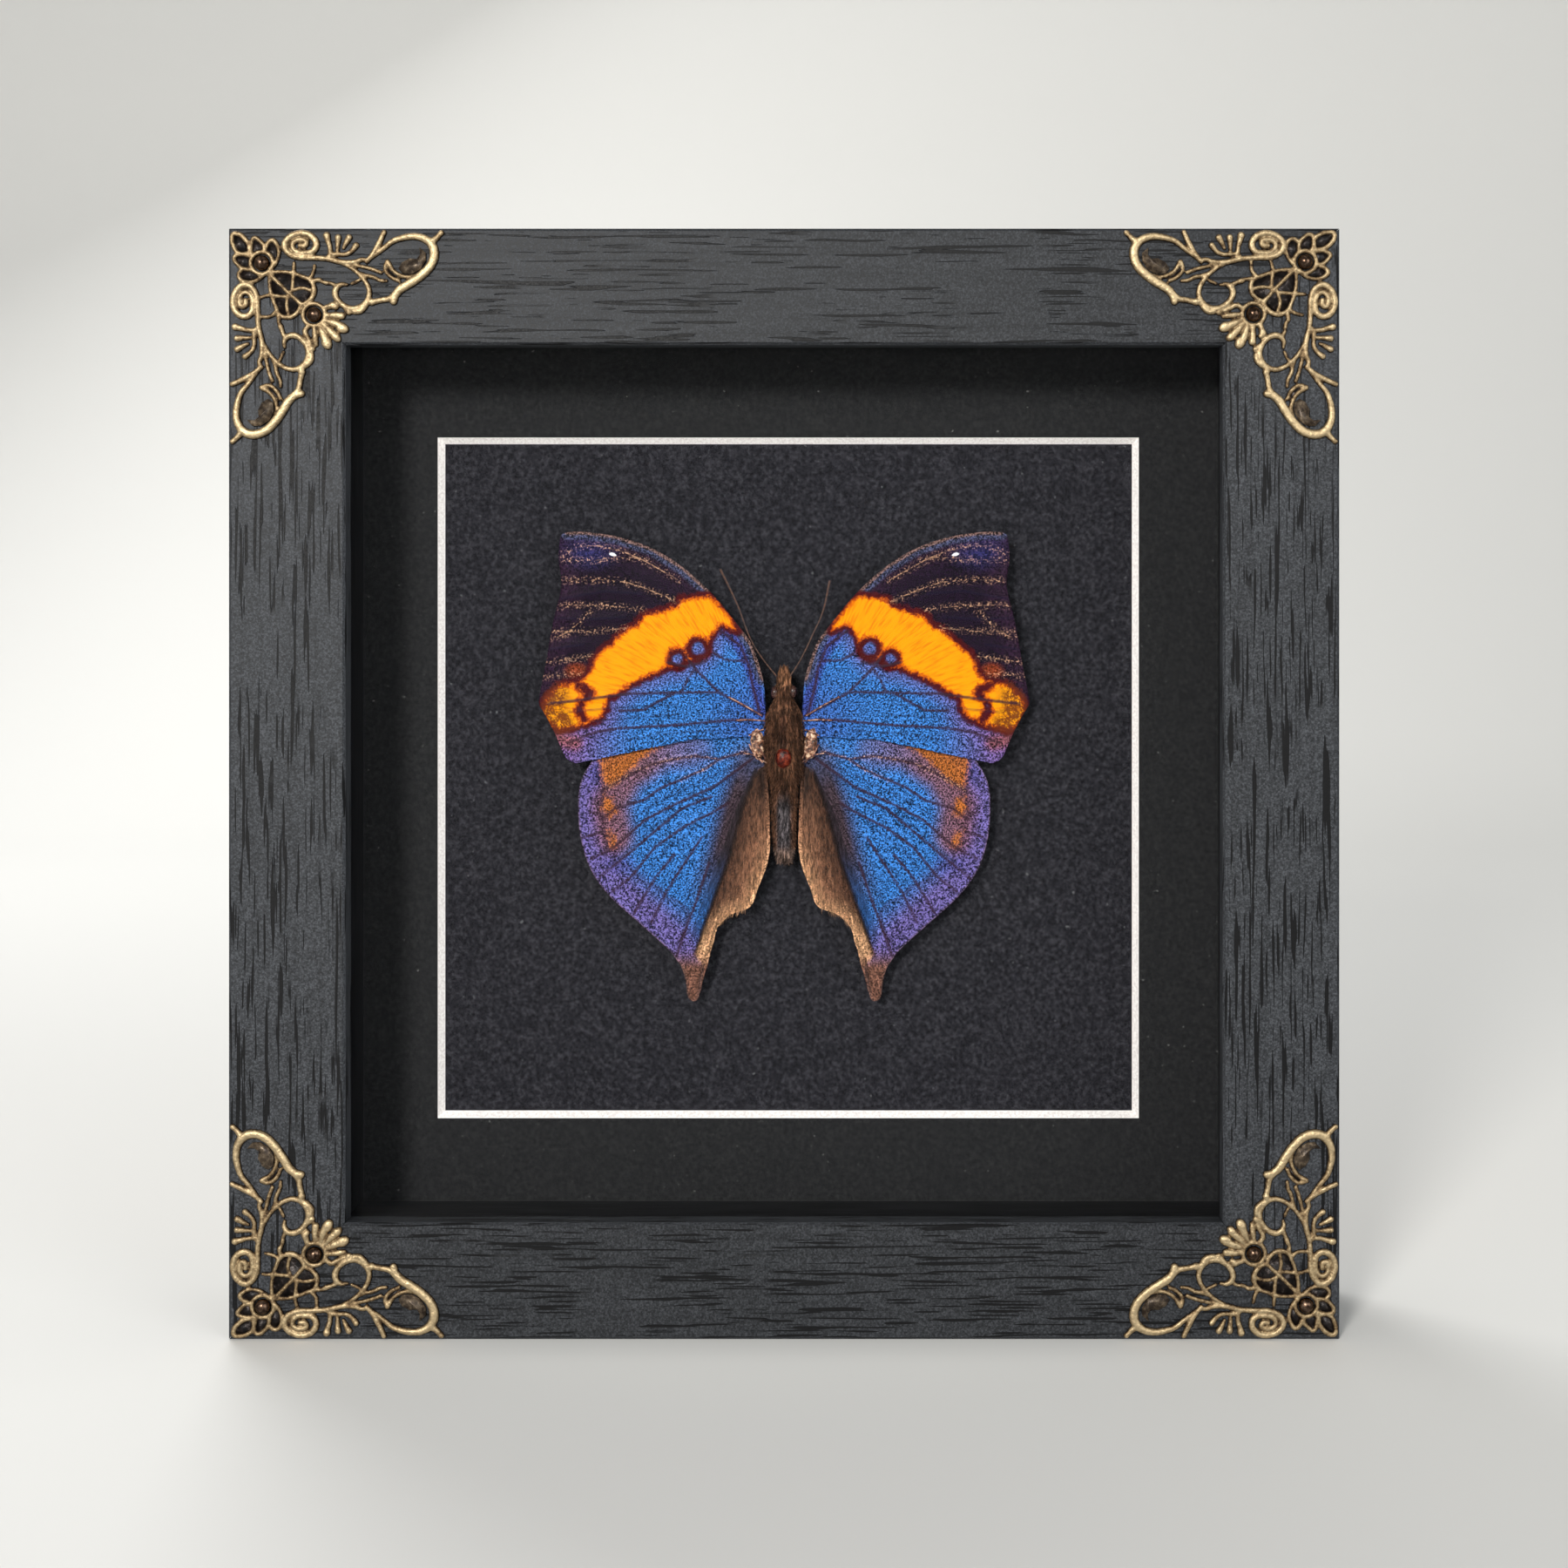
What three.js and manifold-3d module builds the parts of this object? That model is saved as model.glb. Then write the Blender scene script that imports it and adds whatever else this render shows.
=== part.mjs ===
// A leafwing butterfly, set with its wings spread, in a square glazed box frame.
// Four mitred members hold a glass pane, spacers, a window mat, a board and a fibreboard back.
// A pierced brass casting covers each front corner, held by two dome-headed nails.
// Millimetres. +Z is up, the front faces -Y, and the frame stands on z = 0 with its middle at x = 0, y = 0.
import * as THREE from 'three';
import { mergeVertices } from 'three/addons/utils/BufferGeometryUtils.js';
import Module from 'manifold-3d';

// Frame members
const FRAME_SIDE = 200;
const FRAME_DEPTH = 35;
const MEMBER_WIDTH = 21;
const LIP_DEPTH = 4.5;
const REBATE_WIDTH = 6.3;
const EDGE_CHAMFER = 0.5;
const MITRE_GAP = 0.05;

// Layers in the rebate, each behind the one before
const PACK_SIDE = 170;
const GLASS_THICKNESS = 2;
const SPACER_HEIGHT = 18.35;
const SPACER_THICKNESS = 3.5;
const MAT_THICKNESS = 1.4;
const BOARD_THICKNESS = 2;
const PANEL_THICKNESS = 2.5;
const LAYER_GAP = 0.05;
const STRIP_GAP = 0.3;

// Mat window
const WINDOW_WIDTH = 133.9;
const WINDOW_HEIGHT = 130;
const WINDOW_CENTRE = { x: -0.5, z: 99.2 };
const BEVEL_RUN = 1.3;

// Steel points that hold the pack in
const TAB_LENGTH = 10;
const TAB_WIDTH = 8;
const TAB_THICKNESS = 0.5;
const TAB_DEPTH_IN_WOOD = 4;
const TAB_OFFSETS = [-42, 42];
const SLOT_CLEARANCE = 0.3;

// Hanger on the back of the top rail
const HANGER_LENGTH = 45;
const HANGER_HEIGHT = 8;
const HANGER_THICKNESS = 0.8;
const HANGER_TEETH = 9;
const TOOTH_HEIGHT = 2;
const TOOTH_PITCH = 3;
const HANGER_NAIL_SPACING = 38;

// Corner castings and their nails. The two nails stand on the mitre line.
const CASTING_THICKNESS = 1.1;
const CASTING_STANDOFF = 0.1;
const LEAST_STEP = 0.1;
const LEAST_BEND = 0.022;
const LEAST_OPENING = 0.1;
const NAIL_HEAD_RADIUS = 1.4;
const NAIL_HEAD_TOP = 1.6;
const NAIL_SHANK_RADIUS = 0.45;
const NAIL_SHANK_LENGTH = 4;
const NAIL_POINT_LENGTH = 1.5;
const NAIL_SHOULDER = { radius: 0.66, height: 0.75 };
const NAIL_HOLE_RADIUS = 0.8;
const NAIL_PLACES = [[6.1, 6.3], [15.5, 15.6]];

// Butterfly. Its reference point is the middle of the thorax, on the plane of the forewings.
const SPECIMEN_CENTRE = { x: -1.1, z: 103.3 };
const WING_PLANE_DEPTH = 21.2;
const WING_THICKNESS = 0.5;
const WING_BOW = 0.5;
const WING_REACH = 46;
const HINDWING_SETBACK = 0.95;
const ANTENNA_RADIUS = 0.25;
const PAD_SIZE = { width: 4, height: 12 };
const PAD_RISE = 3;

// Heights above the frame's middle: the rebate's wall, and the middle of the top rail's back
const REBATE_WALL = FRAME_SIDE / 2 - MEMBER_WIDTH + REBATE_WIDTH;
const HANGER_LINE = (FRAME_SIDE / 2 + REBATE_WALL) / 2;

const wasm = await Module();
wasm.setup();

// Depth behind the frame's front face, as a y coordinate
const yAt = (depth) => depth - FRAME_DEPTH / 2;

const wood = () => new THREE.MeshStandardMaterial({ color: 0x3d4147, roughness: 0.6 });
const brass = () => new THREE.MeshStandardMaterial({ color: 0xbd9a63, roughness: 0.4, metalness: 1 });
const nailBronze = () => new THREE.MeshStandardMaterial({ color: 0x4a3026, roughness: 0.25, metalness: 1 });
const clearGlass = () => new THREE.MeshStandardMaterial({
  color: 0xf0f6f6,
  roughness: 0.05,
  transparent: true,
  opacity: 0.2,
});
const blackCard = () => new THREE.MeshStandardMaterial({ color: 0x1c1c1e, roughness: 0.9 });
const greyCard = () => new THREE.MeshStandardMaterial({ color: 0x2a2a2e, roughness: 0.9 });
const fibreboard = () => new THREE.MeshStandardMaterial({ color: 0x8a6a48, roughness: 0.85 });
const steel = () => new THREE.MeshStandardMaterial({ color: 0x9a9a98, roughness: 0.35, metalness: 1 });
const cork = () => new THREE.MeshStandardMaterial({ color: 0xa88058, roughness: 0.95 });
const chitin = () => new THREE.MeshStandardMaterial({ color: 0x554132, roughness: 0.7 });
const forewingScales = () => new THREE.MeshStandardMaterial({ color: 0xd8842a, roughness: 0.6 });
const hindwingScales = () => new THREE.MeshStandardMaterial({ color: 0x2f6ea8, roughness: 0.5 });

// A closed geometry as a solid for cutting and joining
function toSolid(geometry) {
  const bare = geometry.clone();
  bare.deleteAttribute('normal');
  bare.deleteAttribute('uv');
  const merged = mergeVertices(bare, 1e-4);
  return new wasm.Manifold(new wasm.Mesh({
    numProp: 3,
    vertProperties: new Float32Array(merged.attributes.position.array),
    triVerts: new Uint32Array(merged.index.array),
  }));
}

// A solid as a flat-shaded geometry
function toGeometry(solid) {
  const mesh = solid.getMesh();
  const indexed = new THREE.BufferGeometry();
  indexed.setAttribute('position', new THREE.BufferAttribute(mesh.vertProperties, mesh.numProp));
  indexed.setIndex(new THREE.BufferAttribute(mesh.triVerts, 1));
  const flat = indexed.toNonIndexed();
  flat.computeVertexNormals();
  return flat;
}

function addMesh(parent, name, geometry, material, place = [0, 0, 0]) {
  const mesh = new THREE.Mesh(geometry, material);
  mesh.name = name;
  mesh.position.set(...place);
  parent.add(mesh);
  return mesh;
}

// A box between two depths, centred on (x, z)
function addSlab(parent, name, size, depths, centre, material) {
  const thickness = depths[1] - depths[0];
  const geometry = new THREE.BoxGeometry(size[0], thickness, size[1]);
  return addMesh(parent, name, geometry, material, [centre[0], yAt((depths[0] + depths[1]) / 2), centre[1]]);
}

// An outline in (x, z) as a plate whose front is at the first depth and back at the second
function plateGeometry(shape, depths) {
  const geometry = new THREE.ExtrudeGeometry(shape, {
    depth: depths[1] - depths[0],
    bevelEnabled: false,
    curveSegments: 5,
  });
  geometry.rotateX(Math.PI / 2);
  geometry.translate(0, yAt(depths[1]), 0);
  return geometry;
}

const glassFront = LIP_DEPTH + LAYER_GAP;
const glassBack = glassFront + GLASS_THICKNESS;
const spacerFront = glassBack + LAYER_GAP;
const spacerBack = spacerFront + SPACER_HEIGHT;
const matFront = spacerBack + LAYER_GAP;
const matBack = matFront + MAT_THICKNESS;
const boardFront = matBack + LAYER_GAP;
const boardBack = boardFront + BOARD_THICKNESS;
const panelFront = boardBack + LAYER_GAP;
const panelBack = panelFront + PANEL_THICKNESS;
const tabFront = panelBack + LAYER_GAP;
const tabBack = tabFront + TAB_THICKNESS;

// One mitred member along the top of a square centred on the origin. The section runs from the
// outer edge inwards, and each end is drawn back by its distance from that edge.
function memberSolid() {
  const inner = MEMBER_WIDTH;
  const wall = MEMBER_WIDTH - REBATE_WIDTH;
  const section = new THREE.Shape([
    new THREE.Vector2(EDGE_CHAMFER, 0),
    new THREE.Vector2(inner - EDGE_CHAMFER, 0),
    new THREE.Vector2(inner, EDGE_CHAMFER),
    new THREE.Vector2(inner, LIP_DEPTH),
    new THREE.Vector2(wall, LIP_DEPTH),
    new THREE.Vector2(wall, FRAME_DEPTH),
    new THREE.Vector2(0, FRAME_DEPTH),
    new THREE.Vector2(0, EDGE_CHAMFER),
  ]);
  const geometry = new THREE.ExtrudeGeometry(section, { depth: 1, bevelEnabled: false });
  const corners = geometry.attributes.position;
  for (let i = 0; i < corners.count; i += 1) {
    const fromEdge = corners.getX(i);
    const depth = corners.getY(i);
    const end = corners.getZ(i) > 0.5 ? 1 : -1;
    const halfLength = FRAME_SIDE / 2 - fromEdge - MITRE_GAP;
    corners.setXYZ(i, end * halfLength, yAt(depth), FRAME_SIDE / 2 - fromEdge);
  }
  return toSolid(geometry);
}

// A round hole for a nail's shank, driven from one face of the frame
function nailHole(across, height, face) {
  const length = 2 * (NAIL_SHANK_LENGTH + SLOT_CLEARANCE);
  const hole = new THREE.CylinderGeometry(NAIL_HOLE_RADIUS, NAIL_HOLE_RADIUS, length, 6);
  return toSolid(hole.translate(across, yAt(face), height));
}

// Slots for the steel points, and half of each corner nail's hole where the mitre parts it
function cutMember(member) {
  let solid = member;
  const slot = new THREE.BoxGeometry(
    TAB_WIDTH + SLOT_CLEARANCE,
    TAB_THICKNESS + SLOT_CLEARANCE,
    2 * TAB_DEPTH_IN_WOOD,
  );
  for (const offset of TAB_OFFSETS) {
    const cutter = slot.clone().translate(offset, yAt((tabFront + tabBack) / 2), REBATE_WALL);
    solid = solid.subtract(toSolid(cutter));
  }
  for (const [across, down] of NAIL_PLACES) {
    solid = solid.subtract(nailHole(across - FRAME_SIDE / 2, FRAME_SIDE / 2 - down, 0));
    solid = solid.subtract(nailHole(FRAME_SIDE / 2 - down, FRAME_SIDE / 2 - across, 0));
  }
  return solid;
}

function buildMembers(parent) {
  const member = cutMember(memberSolid());
  ['top_rail', 'right_stile', 'bottom_rail', 'left_stile'].forEach((name, turn) => {
    let solid = member;
    if (name === 'top_rail') {
      for (const side of [-1, 1]) {
        solid = solid.subtract(nailHole(side * HANGER_NAIL_SPACING / 2, HANGER_LINE, FRAME_DEPTH));
      }
    }
    const mesh = addMesh(parent, name, toGeometry(solid), wood());
    mesh.rotation.y = turn * Math.PI / 2;
  });
}

function buildPack(parent) {
  const square = [PACK_SIDE, PACK_SIDE];
  addSlab(parent, 'glass_pane', square, [glassFront, glassBack], [0, 0], clearGlass());
  const stripMiddle = (PACK_SIDE - SPACER_THICKNESS) / 2;
  const sideHeight = PACK_SIDE - 2 * SPACER_THICKNESS - 2 * STRIP_GAP;
  const spacerDepths = [spacerFront, spacerBack];
  for (const [name, side] of [['spacer_top', 1], ['spacer_bottom', -1]]) {
    addSlab(parent, name, [PACK_SIDE, SPACER_THICKNESS], spacerDepths, [0, side * stripMiddle], blackCard());
  }
  for (const [name, side] of [['spacer_left', -1], ['spacer_right', 1]]) {
    addSlab(parent, name, [SPACER_THICKNESS, sideHeight], spacerDepths, [side * stripMiddle, 0], blackCard());
  }
  addMesh(parent, 'window_mat', matGeometry(), blackCard());
  addSlab(parent, 'backing_board', square, [boardFront, boardBack], [0, 0], greyCard());
  addSlab(parent, 'back_panel', square, [panelFront, panelBack], [0, 0], fibreboard());
}

// The mat, with its window's edges drawn in towards the back by the bevel
function matGeometry() {
  const centre = new THREE.Vector2(WINDOW_CENTRE.x, WINDOW_CENTRE.z - FRAME_SIDE / 2);
  const rectangle = (width, height, middle) => [[-1, -1], [1, -1], [1, 1], [-1, 1]].map(
    ([x, z]) => new THREE.Vector2(middle.x + x * width / 2, middle.y + z * height / 2),
  );
  const sheet = new THREE.Shape(rectangle(PACK_SIDE, PACK_SIDE, new THREE.Vector2()));
  sheet.holes.push(new THREE.Path(rectangle(WINDOW_WIDTH, WINDOW_HEIGHT, centre)));
  const geometry = plateGeometry(sheet, [matFront, matBack]);
  const corners = geometry.attributes.position;
  for (let i = 0; i < corners.count; i += 1) {
    const atWindow = Math.abs(corners.getX(i)) < PACK_SIDE / 2 - 1;
    const atBack = corners.getY(i) > yAt((matFront + matBack) / 2);
    if (atWindow && atBack) {
      corners.setX(i, corners.getX(i) - Math.sign(corners.getX(i) - centre.x) * BEVEL_RUN);
      corners.setZ(i, corners.getZ(i) - Math.sign(corners.getZ(i) - centre.y) * BEVEL_RUN);
    }
  }
  return geometry;
}

function buildTabs(parent) {
  const middle = REBATE_WALL + TAB_DEPTH_IN_WOOD - SLOT_CLEARANCE - TAB_LENGTH / 2;
  let number = 1;
  for (let turn = 0; turn < 4; turn += 1) {
    const side = new THREE.Group();
    side.rotation.y = turn * Math.PI / 2;
    parent.add(side);
    for (const offset of TAB_OFFSETS) {
      const name = `retaining_tab_${number}`;
      addSlab(side, name, [TAB_WIDTH, TAB_LENGTH], [tabFront, tabBack], [offset, middle], steel());
      number += 1;
    }
  }
}

// A dome-headed nail pointing along +Y, with its head's underside at the origin
function nailGeometry(headRadius, headHeight, shankRadius, shankLength) {
  const profile = [
    [0, -shankLength],
    [shankRadius, -shankLength + NAIL_POINT_LENGTH],
    [shankRadius, 0],
    [headRadius, 0],
    [headRadius * NAIL_SHOULDER.radius, headHeight * NAIL_SHOULDER.height],
    [0, headHeight],
  ].map(([radius, height]) => new THREE.Vector2(radius, height));
  const geometry = new THREE.LatheGeometry(profile, 6);
  geometry.rotateX(Math.PI);
  return geometry;
}

// Sawtooth hanger: a strip with teeth along its lower edge and two nails in round holes
function buildHanger(parent) {
  const group = new THREE.Group();
  group.position.set(0, 0, HANGER_LINE);
  parent.add(group);

  const toothRun = HANGER_TEETH * TOOTH_PITCH;
  const outline = new THREE.Shape();
  outline.moveTo(-HANGER_LENGTH / 2, HANGER_HEIGHT / 2);
  outline.lineTo(-HANGER_LENGTH / 2, -HANGER_HEIGHT / 2);
  outline.lineTo(-toothRun / 2, -HANGER_HEIGHT / 2);
  for (let tooth = 0; tooth < HANGER_TEETH; tooth += 1) {
    const start = -toothRun / 2 + tooth * TOOTH_PITCH;
    outline.lineTo(start + TOOTH_PITCH / 2, -HANGER_HEIGHT / 2 + TOOTH_HEIGHT);
    outline.lineTo(start + TOOTH_PITCH, -HANGER_HEIGHT / 2);
  }
  outline.lineTo(HANGER_LENGTH / 2, -HANGER_HEIGHT / 2);
  outline.lineTo(HANGER_LENGTH / 2, HANGER_HEIGHT / 2);
  for (const side of [-1, 1]) {
    const hole = new THREE.Path();
    hole.absarc(side * HANGER_NAIL_SPACING / 2, 0, NAIL_HOLE_RADIUS, 0, 2 * Math.PI, true);
    outline.holes.push(hole);
  }
  const back = FRAME_DEPTH + CASTING_STANDOFF;
  addMesh(group, 'hanger_plate', plateGeometry(outline, [back, back + HANGER_THICKNESS]), brass());

  const nailSeat = back + HANGER_THICKNESS + LAYER_GAP;
  const headHeight = FRAME_DEPTH + NAIL_HEAD_TOP - nailSeat;
  for (const [name, side] of [['hanger_nail_left', 1], ['hanger_nail_right', -1]]) {
    const geometry = nailGeometry(NAIL_HEAD_RADIUS, headHeight, NAIL_SHANK_RADIUS, NAIL_SHANK_LENGTH);
    geometry.rotateX(Math.PI);
    addMesh(group, name, geometry, steel(), [side * HANGER_NAIL_SPACING / 2, yAt(nailSeat), 0]);
  }
}

// Strokes of the corner casting. Each point is across from the side edge, down from the top edge,
// and the stroke's width there. The arm's strokes run along the top, and the other arm mirrors them.
const ARM_STROKES = [
  // scroll, from its eye out to the stem
  [[13.2, 3.3, 0.6], [14, 2.6, 0.7], [12.4, 2.1, 0.7], [11.9, 3.8, 0.8], [15, 4.3, 0.9], [15.6, 2, 0.9],
    [13, 1, 0.9], [10.6, 2.4, 0.9], [11.3, 4.8, 0.8], [17, 5.5, 0.7], [25.1, 5.8, 0.6]],
  // thorn
  [[25, 6, 0.6], [28.1, 0.8, 0.7]],
  // teardrop loop and the spur on it
  [[25.8, 5.2, 0.5], [29.7, 2.4, 0.8], [33.6, 1.5, 1.1], [36.8, 3, 1.5], [36.6, 6.2, 1.5], [33.6, 9.4, 1.4],
    [29.5, 12.6, 1.4]],
  [[36.6, 2.6, 1.1], [38.6, 0.8, 0.7]],
  // foot that joins the loop to the curl
  [[29.5, 12.8, 1.2], [25.4, 13.2, 0.9]],
  // curl
  [[20.4, 6.1, 0.6], [23.6, 8.2, 0.5], [25.3, 11, 0.6], [24, 14, 1], [20.8, 13.9, 0.9], [19.4, 11.4, 0.9],
    [21.4, 10.1, 0.4]],
  // side branches
  [[20.4, 6.1, 0.4], [27.7, 8, 0.5]],
  [[23, 7.7, 0.4], [28.6, 9.4, 0.5]],
  // lobe and leaf inside the loop
  [[28.6, 6.3, 0.8], [29.7, 8.2, 1.5], [34.6, 8.4, 0.6]],
  [[34.4, 3.6, 0.5], [34.2, 6, 1.5], [31.4, 8.2, 1.4]],
  // sprig
  [[18.1, 5.4, 0.6], [21.4, 4.6, 0.6], [23.1, 3, 1]],
  [[18.2, 5.4, 0.6], [17.8, 1.3, 1]],
  [[19.8, 5, 0.5], [19.9, 1.5, 1]],
  [[20.9, 4.7, 0.4], [21.9, 1.6, 1]],
  // beaded strand off the net
  [[15.1, 9.5, 0.5], [17.2, 9.5, 0.6], [19.8, 10.6, 0.7]],
];

// Strokes near the mitre line, as they stand: the net's diagonal and its cross strands
const CORNER_STROKES = [
  [[7.8, 8.6, 0.5], [13.2, 13.7, 0.5]],
  [[11.9, 6.3, 0.4], [11.6, 11.1, 0.5], [15.2, 11.1, 0.5]],
  [[5.6, 12.5, 0.4], [10.8, 12.3, 0.5], [10.9, 15.8, 0.5]],
  [[15.6, 6.8, 0.4], [15.4, 8.2, 0.4], [14.5, 9.3, 0.5]],
  [[6.1, 16, 0.4], [7.7, 15.9, 0.4], [9.2, 14.9, 0.5]],
];

// Closed rims: the net, then the five petals that stand round the corner flower
const RIMS = [
  [[7.4, 8.1], [11.8, 8.1], [14.7, 9.2], [15.5, 11.2], [15, 12.6], [13.2, 13.8], [12.7, 15], [11.8, 15.8],
    [9.3, 15.6], [7.8, 12]],
  [[4.4, 5], [3.5, 2.6], [1.6, 1], [0.8, 1.2], [0.9, 3.2], [2.2, 4.8]],
  [[4.2, 4.7], [4.3, 2.5], [4.9, 1.7], [6.2, 2.8], [6.8, 4.6]],
  [[7, 4.8], [7.1, 3], [8, 2.2], [9.1, 3.6], [9, 5.4], [8.2, 6.9]],
  [[4.2, 4.7], [1.8, 4.6], [1.2, 5.5], [2.7, 7.2], [4.4, 7.4]],
  [[4, 7.3], [2.4, 7.6], [1.9, 8.5], [2.9, 9.8], [5, 9.6], [6.3, 8.4]],
];
const RIM_WIDTH = 0.5;

// Rays of the fan flower: degrees turned from straight across, reach from its middle, width at the tip
const FAN_RAYS = [[-22, 4.3, 0.9], [1, 5.5, 1.2], [24, 5.9, 1.8], [46, 5.6, 1.6], [66, 5.9, 1.8],
  [88, 5.6, 1], [112, 5.2, 1]];
const RING_RADIUS = 1.85;
const RING_WIDTH = 0.65;

// A stroke of changing width, drawn square to the smooth curve through its points. The long scroll
// is drawn in finer steps than the rest.
const LONG_STROKE = 9;

function strokeShape(points) {
  const route = new THREE.SplineCurve(points.map(([across, down]) => new THREE.Vector2(across, -down)));
  const steps = points.length > LONG_STROKE ? 1.2 * (points.length - 1) : points.length - 1;
  const left = [];
  const right = [];
  for (let step = 0; step <= steps; step += 1) {
    const place = (step / steps) * (points.length - 1);
    const widthBefore = points[Math.floor(place)][2];
    const widthAfter = points[Math.ceil(place)][2];
    const width = THREE.MathUtils.lerp(widthBefore, widthAfter, place % 1);
    const middle = route.getPoint(step / steps);
    const along = route.getTangent(step / steps);
    const normal = new THREE.Vector2(-along.y, along.x).multiplyScalar(width / 2);
    left.push(middle.clone().add(normal));
    right.unshift(middle.clone().sub(normal));
  }
  return new THREE.Shape([...left, ...right]);
}

function castingGeometry() {
  const plate = (shape) => {
    const back = -CASTING_STANDOFF;
    return toSolid(plateGeometry(shape, [back - CASTING_THICKNESS, back]));
  };
  const mirrored = ARM_STROKES.map((stroke) => stroke.map(([across, down, width]) => [down, across, width]));
  const strokes = [...ARM_STROKES, ...mirrored, ...CORNER_STROKES];
  const fan = NAIL_PLACES[1];
  for (const [degrees, reach, club] of FAN_RAYS) {
    const angle = THREE.MathUtils.degToRad(degrees);
    const direction = [Math.cos(angle), Math.sin(angle)];
    strokes.push([
      [fan[0] + RING_RADIUS * direction[0], fan[1] + RING_RADIUS * direction[1], 0.5],
      [fan[0] + reach * direction[0], fan[1] + reach * direction[1], club],
    ]);
  }
  for (const rim of RIMS) {
    rim.forEach((start, corner) => {
      const end = rim[(corner + 1) % rim.length];
      strokes.push([[...start, RIM_WIDTH], [...end, RIM_WIDTH]]);
    });
  }
  const shapes = strokes.map(strokeShape);
  for (const [across, down] of NAIL_PLACES) {
    const disc = new THREE.Shape();
    disc.absarc(across, -down, RING_RADIUS + RING_WIDTH / 2, 0, 2 * Math.PI, false);
    shapes.push(disc);
  }
  let casting = wasm.Manifold.union(shapes.map(plate));
  const openingRadius = RING_RADIUS - RING_WIDTH / 2;
  const opening = new THREE.CylinderGeometry(openingRadius, openingRadius, 4 * CASTING_THICKNESS, 8);
  for (const [across, down] of NAIL_PLACES) {
    casting = casting.subtract(toSolid(opening.clone().translate(across, yAt(0), -down)));
  }
  return plateGeometry(outlineOf(casting), [-CASTING_STANDOFF - CASTING_THICKNESS, -CASTING_STANDOFF]);
}

// A loop without the points that add nothing: a hair from the one before, or on a straight run
function slimmed(loop) {
  const apart = loop.filter((point, i) => point.distanceTo(loop.at(i - 1)) > LEAST_STEP);
  return apart.filter((point, i) => {
    const arriving = point.clone().sub(apart.at(i - 1));
    const leaving = apart[(i + 1) % apart.length].clone().sub(point);
    return Math.abs(arriving.cross(leaving)) > LEAST_BEND;
  });
}

// The outline of joined plates of one thickness, traced round their front face, so that the plate
// drawn from it has no edges left on its faces where the strokes met
function outlineOf(solid) {
  const { vertProperties, triVerts } = solid.getMesh();
  const front = yAt(-CASTING_STANDOFF - CASTING_THICKNESS);
  const inFront = (corner) => Math.abs(vertProperties[3 * corner + 1] - front) < 1e-3;
  const edges = new Set();
  for (let i = 0; i < triVerts.length; i += 3) {
    const triangle = [...triVerts.subarray(i, i + 3)];
    if (triangle.every(inFront)) {
      triangle.forEach((from, side) => edges.add(`${from} ${triangle[(side + 1) % 3]}`));
    }
  }
  const next = new Map();
  for (const edge of edges) {
    const [from, to] = edge.split(' ');
    if (!edges.has(`${to} ${from}`)) {
      next.set(from, to);
    }
  }
  const loops = [];
  while (next.size > 0) {
    const loop = [];
    let corner = next.keys().next().value;
    while (next.has(corner)) {
      const following = next.get(corner);
      loop.push(new THREE.Vector2(vertProperties[3 * corner], vertProperties[3 * corner + 2]));
      next.delete(corner);
      corner = following;
    }
    loops.push(loop);
  }
  const area = (loop) => Math.abs(THREE.ShapeUtils.area(loop));
  const lasting = loops.filter((loop) => area(loop) > LEAST_OPENING);
  lasting.sort((one, other) => area(other) - area(one));
  const [rim, ...openings] = lasting.map(slimmed).map((loop, place) => {
    const wantsClockwise = place > 0;
    return THREE.ShapeUtils.isClockWise(loop) === wantsClockwise ? loop : loop.reverse();
  });
  const shape = new THREE.Shape(rim);
  shape.holes = openings.map((loop) => new THREE.Path(loop));
  return shape;
}

function buildCorners(parent) {
  const casting = castingGeometry();
  const headHeight = NAIL_HEAD_TOP - CASTING_STANDOFF;
  const nail = nailGeometry(NAIL_HEAD_RADIUS, headHeight, NAIL_SHANK_RADIUS, NAIL_SHANK_LENGTH);
  for (let turn = 0; turn < 4; turn += 1) {
    const corner = new THREE.Group();
    corner.rotation.y = turn * Math.PI / 2;
    parent.add(corner);
    const place = [-FRAME_SIDE / 2, 0, FRAME_SIDE / 2];
    addMesh(corner, `corner_casting_${turn + 1}`, casting, brass(), place);
    NAIL_PLACES.forEach(([across, down], index) => {
      const name = `corner_nail_${turn + 1}${'ab'[index]}`;
      const seat = yAt(-CASTING_STANDOFF);
      addMesh(corner, name, nail, nailBronze(), [place[0] + across, seat, place[2] - down]);
    });
  }
}

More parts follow.
